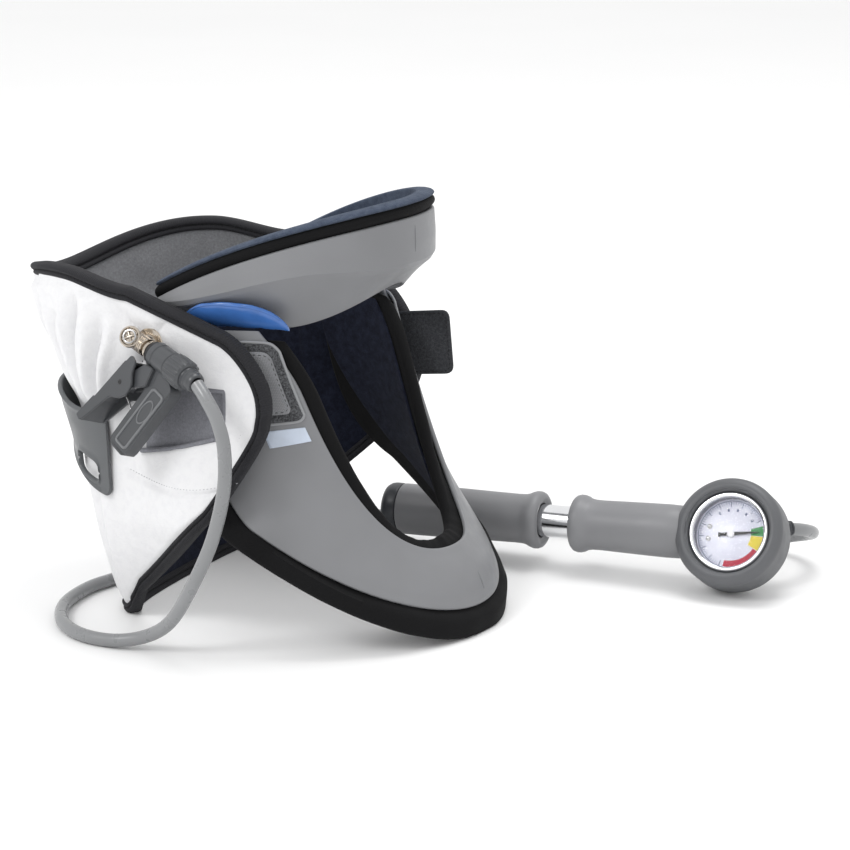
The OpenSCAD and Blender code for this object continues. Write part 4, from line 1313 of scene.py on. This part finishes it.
def build_chuck():
    """The moulded chuck: body, cheeks for the lever pin and the fixed squeeze handle."""
    barrel = turned("chuck_barrel", VALVE, [[15.5, 3.6], [15.5, 5.9], [16.1, 6.5], [19, 6.5],
                                            [19.4, 6.1], [20, 6.1],
                                            [20.4, 6.5], [28.4, 6.5], [29, 6.0], [29, 2.5], [24, 2.4]],
                    M["chuck"])
    neck = prism("chuck_neck", VALVE, [(16, -12), (26, -12), (26, -3), (16, -3)], -3.6, 3.6, M["chuck"],
                 0.7)
    cheek = []
    for y in (-5.6, 3.2):
        turn = np.radians(np.arange(100, 331, 14))
        arc = [(PIVOT[0] + 3.6 * math.cos(a), PIVOT[2] + 3.6 * math.sin(a)) for a in turn]
        cheek.append(prism("chuck_cheek", VALVE, arc + [(23, -14), (23, -5), (17, -5)], y, y + 2.4,
                           M["chuck"], 0.5))
    handle = prism("chuck_handle", VALVE, rounded_outline(HANDLE, 1.6, 4), -3.5, 3.5, M["chuck"], 0.7)
    field = [(26.8, -13), (35.4, -14.2), (25.2, -45.6), (17.0, -44.4)]
    ring = rounded_outline(field, 2.0, 6)
    ring = ring + ring[:1]
    # Painted highlight: the rim and the oval are lighter than the chuck plastic, standing in for light
    # on their raised edges.
    rim = tube("handle_rim", to_world(VALVE, vec([p[0] for p in ring], -3.5, [p[1] for p in ring])),
               0.7, M["chuck_edge_highlight"],
               around=8, ends=False)
    turn = np.linspace(0, 2 * np.pi, 60)
    oval = to_world(VALVE, vec(27.8 + 3.4 * np.cos(turn) + 1.4 * np.sin(turn), -3.5,
                               -25 + 6.2 * np.sin(turn)))
    badge = tube("plain_oval", oval, 0.4, M["chuck_edge_highlight"], around=8, ends=False)
    put(join("chuck_body_moulding", [barrel, neck, handle, rim, badge] + cheek), LOWER,
        ["chuck_body"])
    seal = turned("chuck_gasket_ring", VALVE, [[13.2, 3.6], [13.2, 5.2], [13.6, 5.6], [15, 5.6],
                                               [15.4, 5.2], [15.4, 3.6]],
                  M["rubber"])
    put(seal, LOWER, ["chuck_gasket"])


LEVER = VALVE @ frame_matrix(PIVOT, ("Y", LEVER_TURN))


def build_lever():
    """The squeeze lever: a channel with two rounded side walls, a hub on the pin and a thumb end."""
    wall_line = rounded_outline([(-5.6, 13.2), (-0.6, 13.2), (1.6, 8.6), (6.6, 5.0), (8.0, 0),
                                 (5.8, -5.2), (0.6, -9.5),
                                 (-2.4, -27), (-3.2, -30.8), (-6.4, -30.8)], 1.6, 5)
    walls = [prism("lever_wall", LEVER, wall_line, y, y + 1.4, M["chuck"], 0.4) for y in (-8.0, 6.6)]
    plate = prism("lever_plate", LEVER, [(-6.5, -31), (-4.9, -31), (-4.9, 8.4), (-6.5, 8.6)], -7.9, 7.9,
                  M["chuck"], 0.5)
    hub = prism("lever_hub", LEVER, [(-5.2, -4), (2.3, -4), (2.5, 3.6), (-5.2, 4)], -2.9, 2.9,
                M["chuck"], 0.9)
    thumb = prism("lever_thumb", LEVER, rounded_outline([(-7.4, -31.4), (-3.4, -31.4), (-5.0, -17),
                                                         (-7.0, -17)], 0.9, 4),
                  -7.9, 7.9, M["chuck"], 0.5)
    lever = join("chuck_lever_moulding", walls + [plate, hub, thumb])
    put(lever, "chuck_lever", ["chuck_lever"])
    head = turned("lever_pin_head", VALVE @ frame_matrix(PIVOT, ("Z", 90)),
                  [[-8.3, 0.2], [-8.3, 0.9], [-8.0, 1.25], [8.0, 1.25], [8.3, 0.9], [8.3, 0.2]],
                  M["black"])
    put(head, LOWER, ["lever_pin"])
    legs = [(7.2, -1.6, -23.5), (9.5, -0.8, -25.2), (12.5, 0, -27.6), (15.2, 0, -29.8),
            (17.0, 0, -31.0)]
    leg = wire("spring_leg", to_world(VALVE, np.array(legs)), 0.5, M["steel"])
    turn = np.linspace(0, 2 * np.pi * 3, 110)
    coil = wire("spring_coil", to_world(VALVE, vec(PIVOT[0] + 2.1 * np.cos(turn),
                                                   lerp(-1.6, 1.6, turn / turn[-1]),
                                                   PIVOT[2] + 2.1 * np.sin(turn))), 0.42, M["steel"], 1)
    put(join("lever_spring_wire", [leg, coil]), LOWER, ["lever_spring"])


def build_hose_nut():
    """The ribbed nut and the stepped strain relief that the hose leaves through."""
    def ribs(outline, a):
        on = (outline[:, 0] > 30.2) & (outline[:, 0] < 40.2) & (outline[:, 1] > 6)
        square = np.sign(np.cos(16 * a)) * abs(math.cos(16 * a)) ** 0.35
        return outline[:, 1] + on * (0.55 * (0.5 + 0.5 * square) - 0.1)

    outline = [[29.1, 2.5], [29.1, 6.2], [29.6, 6.8], [30.1, 6.9], [30.4, 7.0], [33, 7.1], [37, 7.1],
               [40.0, 6.9],
               [40.4, 6.6], [41, 6.0], [41.1, 5.2], [41.8, 5.0], [42.4, 5.3], [43.4, 5.3], [43.9, 4.9],
               [44.6, 4.9],
               [45.2, 5.1], [46, 5.0], [46.4, 4.7], [47.6, 4.5], [48, 4.1], [48, 3.3], [44, 2.6]]
    nut = turned("hose_nut_ribbed", VALVE, outline, M["chuck"], around=192, shape=ribs, sharp=28)
    put(nut, LOWER, ["hose_nut"])


build_valve()
build_chuck()
build_lever()
build_hose_nut()


# ---------------------------------------------------------------- pump

PUMP = frame_matrix((211, 105, 28), ("Z", 4), ("Y", -2.5))
GAUGE = PUMP @ frame_matrix((0, 0, 0), ("X", 60))
NIPPLE = PUMP @ frame_matrix((0, 0, 0), ("Z", 42))


def pump_turned(name, outline, material, around=96, shape=None):
    """A turned piece on the pump axis: outline distances run from the gauge to the handle."""
    return turned(name, PUMP, [[-s, r] for s, r in outline], material, around=around, shape=shape)


def build_pump():
    """The bright barrel, the two grips and the handle's end."""
    tube_line = [[21, 7.3], [21, 8.5], [85, 8.5], [165.4, 8.5], [166, 8.1], [166, 7.3]]
    put(pump_turned("barrel_tube", tube_line, M["tube"]), LOWER, ["pump_barrel"])
    near = [[25, 8.6], [25, 11.6], [25.6, 12.9], [27.2, 13.5], [34, 13.7], [48, 13.45], [62, 13.1],
            [70, 12.9],
            [74.5, 13.0], [77, 13.5], [78.6, 14.4], [80.4, 14.95], [82.2, 15.0], [83.8, 14.5],
            [84.7, 13.6],
            [85, 12.6], [84.8, 11.4], [84, 10.6], [83.2, 8.8]]
    put(pump_turned("barrel_grip_sleeve", near, M["grip"]), LOWER, ["barrel_grip"])
    far = [[103.2, 9.2], [102.4, 10.6], [102, 12.0], [102.2, 13.2], [103, 14.3], [104.6, 14.95],
           [106.4, 15.0],
           [108.4, 14.4], [110.2, 13.5], [112.6, 12.95], [117, 12.8], [130, 12.95], [150, 13.3],
           [170, 13.5],
           [181, 13.5], [181.6, 13.3], [182, 12.9], [182, 9.2]]
    put(pump_turned("handle_sleeve_grip", far, M["grip"]), "pump_handle",
        ["handle_sleeve"])
    end = [[182.1, 3.2], [182.1, 12.7], [182.5, 13.3], [183.1, 13.5], [186.4, 13.6], [188.4, 13.2],
           [190, 12.2],
           [190.8, 10.6], [191, 8.4], [190.6, 5.0], [190.4, 0.3], [187, 0.3], [187, 3.2]]
    put(pump_turned("handle_end_cap", end, M["cap"]), "pump_handle", ["handle_cap"])
    bush = [[158, 3.1], [158, 7.0], [158.6, 7.25], [165.4, 7.25], [166.1, 7.3], [166.1, 8.1],
            [166.5, 8.5],
            [167.1, 8.5], [167.5, 8.0], [167.5, 3.1]]
    put(pump_turned("barrel_bush_ring", bush, M["black"]), LOWER, ["barrel_bush"])


def build_boot():
    """The soft boot round the gauge, with a dished front and sockets for the grip and the hose."""
    r, half = 28.0, 14.0
    outline = [[-half, 0.4], [-half, r - 12]]
    outline += [[-half + 10 + 10 * math.sin(a), r - 10 + 10 * math.cos(a)]
                for a in np.radians(np.arange(-84, 1, 7))]
    outline += [[half - 5 + 5 * math.sin(a), r - 5 + 5 * math.cos(a)]
                for a in np.radians(np.arange(8, 91, 8))]
    outline += [[half - 0.4, r - 5.8], [half - 1.4, 22.0], [half - 2.6, 21.2], [half - 3.6, 20.9],
                [half - 5.5, 20.9],
                [half - 5.5, 19.6], [-half + 3, 19.6], [-half + 3, 0.4]]
    body = turned("boot_body", GAUGE, outline, M["boot"], axis="Z", around=160, sharp=50)
    lip_t = 2 * np.pi * np.arange(140) / 139
    lip = tube("boot_lip", to_world(GAUGE, vec(24.3 * np.cos(lip_t), 24.3 * np.sin(lip_t),
                                               half - 0.55)), 0.45,
               M["boot"], around=8, ends=False)
    neck = turned("boot_neck", PUMP, [[-24.9, 10], [-25.6, 12.9], [-25.2, 13.4], [-24.4, 13.2],
                                      [-23.4, 12.4],
                                      [-22.8, 10]], M["boot"])
    tail = turned("boot_tail", NIPPLE, [[24.5, 3], [24.5, 6.8], [26.2, 6.4], [26.9, 5.8], [27, 5],
                                        [27, 3]], M["boot"])
    put(join("gauge_boot_moulding", [body, lip, neck, tail]), LOWER, ["gauge_boot"])
    relief = [[17.2, 1.4], [17.2, 2.8], [27.1, 2.8], [27.2, 4.4], [27.6, 4.7], [28.6, 4.7], [29, 4.3],
              [29.3, 3.8],
              [29.7, 4.2], [30.6, 4.2], [31, 3.7], [31.3, 3.5], [31.7, 3.8], [32.4, 3.7], [32.7, 3.3],
              [28.9, 3.3],
              [28.9, 1.4]]
    put(turned("hose_nipple_relief", NIPPLE, relief, M["cap"]), LOWER, ["hose_nipple"])


def dial_arc(name, r0, r1, deg0, deg1, height, material, steps=40):
    """A thin printed mark between two radii and two angles of the dial."""
    r = np.array([r0, r1, r1, r0])
    z = np.array([0, 0, 0.12, 0.12]) + height
    loops = [to_world(GAUGE, vec(r * math.cos(t), r * math.sin(t), z))
             for t in np.radians(np.linspace(deg0, deg1, steps))]
    return loft(name, np.array(loops), material, sharp=30)


def build_dial():
    """The dial: plain ticks, coloured sectors and its two screws."""
    face = 4.8
    parts = [turned("dial_disc", GAUGE, [[4.0, 1.4], [4.0, 17.9], [4.2, 18.2], [4.7, 18.2], [4.8, 18.0],
                                         [4.8, 1.4]],
                    M["dial"], axis="Z", around=128)]
    for k in range(51):
        deg = 30 + k * 4.5
        inner, half = (14.2, 0.7) if k % 5 == 0 else (15.4, 0.35)
        parts.append(dial_arc("tick", inner, 16.9, deg - half, deg + half, face, M["ink"], 3))
    for k in range(5):
        deg = 38 + k * 22
        parts.append(dial_arc("hour_mark", 11.8, 13.2, deg - 2.2, deg + 2.2, face, M["ink"], 5))
    parts += [
        dial_arc("scale_ring", 17.05, 17.35, 20, 340, face, M["ink"], 90),
        dial_arc("green_sector", 10.2, 16.6, 1, 19, face, M["green"]),
        dial_arc("yellow_sector", 10.2, 16.6, -27, 0, face, M["yellow"]),
        dial_arc("red_sector", 13.6, 16.8, -98, -28, face, M["red"]),
    ]
    put(join("dial_face_printed", parts), LOWER, ["dial_plate"])
    screws = []
    for a in (165, 195):
        at = GAUGE @ frame_matrix((12 * math.cos(math.radians(a)), 12 * math.sin(math.radians(a)), 0))
        screws.append(turned("dial_screw", at, [[1.5, 0.2], [1.5, 0.6], [4.8, 0.6], [4.85, 1.3],
                                                [5.2, 1.3], [5.45, 0.9],
                                                [5.5, 0.4], [5.2, 0.2]], M["steel"], axis="Z",
                             around=32))
    put(join("dial_screw_pair", screws), LOWER, ["dial_screws"])


def build_needle():
    """The pointer at its place in the photograph, on a white hub."""
    at = GAUGE @ frame_matrix((0, 0, 0), ("Z", 8))
    flat = at @ frame_matrix((0, 0, 0), ("X", 90))
    blade = prism("needle_blade", flat, [(-6.5, -1.3), (-4.8, -0.7), (0, -1.0), (14.5, -0.25),
                                         (14.5, 0.25), (0, 1.0),
                                         (-4.8, 0.7), (-6.5, 1.3)], 5.72, 6.15, M["needle"], 0.08)
    hub = turned("needle_hub", at, [[-2.8, 0.2], [-2.8, 0.8], [5.5, 0.8], [5.5, 1.9], [6.2, 1.9],
                                    [6.6, 1.5], [6.75, 0.8],
                                    [6.75, 0.2]], M["pearl"], axis="Z", around=40)
    put(join("gauge_needle_pointer", [blade, hub]), "gauge_pointer", ["gauge_needle"])


def build_bezel():
    """The chrome ring that holds the lens."""
    rim = [[8.7, 18.5], [8.7, 20.7], [10.4, 20.7], [11.2, 20.3], [11.6, 19.6], [11.5, 18.9],
           [11.0, 18.1], [10.3, 18.1]]
    put(turned("gauge_bezel_ring", GAUGE, rim, M["chrome"], axis="Z", around=160, sharp=60), LOWER,
        ["gauge_bezel"])


build_pump()
build_boot()
build_dial()
build_needle()
build_bezel()

CAD_FINISH = {
    "gauge_lens": "glass", "gauge_case": "case", "gauge_movement": "brass", "piston_rod": "steel",
    "piston_head": "black", "piston_seal": "rubber", "barrel_plug": "black",
}
for node_name, finish in CAD_FINISH.items():
    node_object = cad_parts[node_name]
    node_object.data.materials.clear()
    node_object.data.materials.append(M[finish])
    round_shading(node_object.data, 30)


# ---------------------------------------------------------------- floor and lights

def build_stage():
    n = Nodes("studio_floor")
    haze = n.noise(3, 2.0)
    n.set(Base_Color=mix_colors(n, haze, (0.90, 0.90, 0.90), (0.93, 0.93, 0.93)), Roughness=0.7)
    mesh = bpy.data.meshes.new("floor")
    mesh.from_pydata([(-6, -6, 0), (6, -6, 0), (6, 6, 0), (-6, 6, 0)], [], [(0, 1, 2, 3)])
    mesh.materials.append(n.material)
    link_object("floor", mesh)


def area_light(name, place, aim, size, power):
    data = bpy.data.lights.new(name, "AREA")
    data.shape = "DISK"
    data.size = size
    data.energy = power
    light = link_object(name, data)
    light.location = place
    light.rotation_mode = "QUATERNION"
    light.rotation_quaternion = (Vector(aim) - Vector(place)).to_track_quat("-Z", "Y")


def build_lights():
    world = bpy.data.worlds.new("studio")
    bpy.context.scene.world = world
    world.use_nodes = True
    back = world.node_tree.nodes["Background"]
    back.inputs["Color"].default_value = (1.0, 1.0, 1.0, 1)
    back.inputs["Strength"].default_value = 0.98
    area_light("key", (-0.5, -1.2, 1.3), (0.05, 0, 0.08), 0.6, 9)
    area_light("top", (0.2, 0.4, 1.6), (0.08, 0, 0.05), 0.8, 9)


build_stage()
build_lights()
bpy.context.scene.view_settings.view_transform = "Standard"
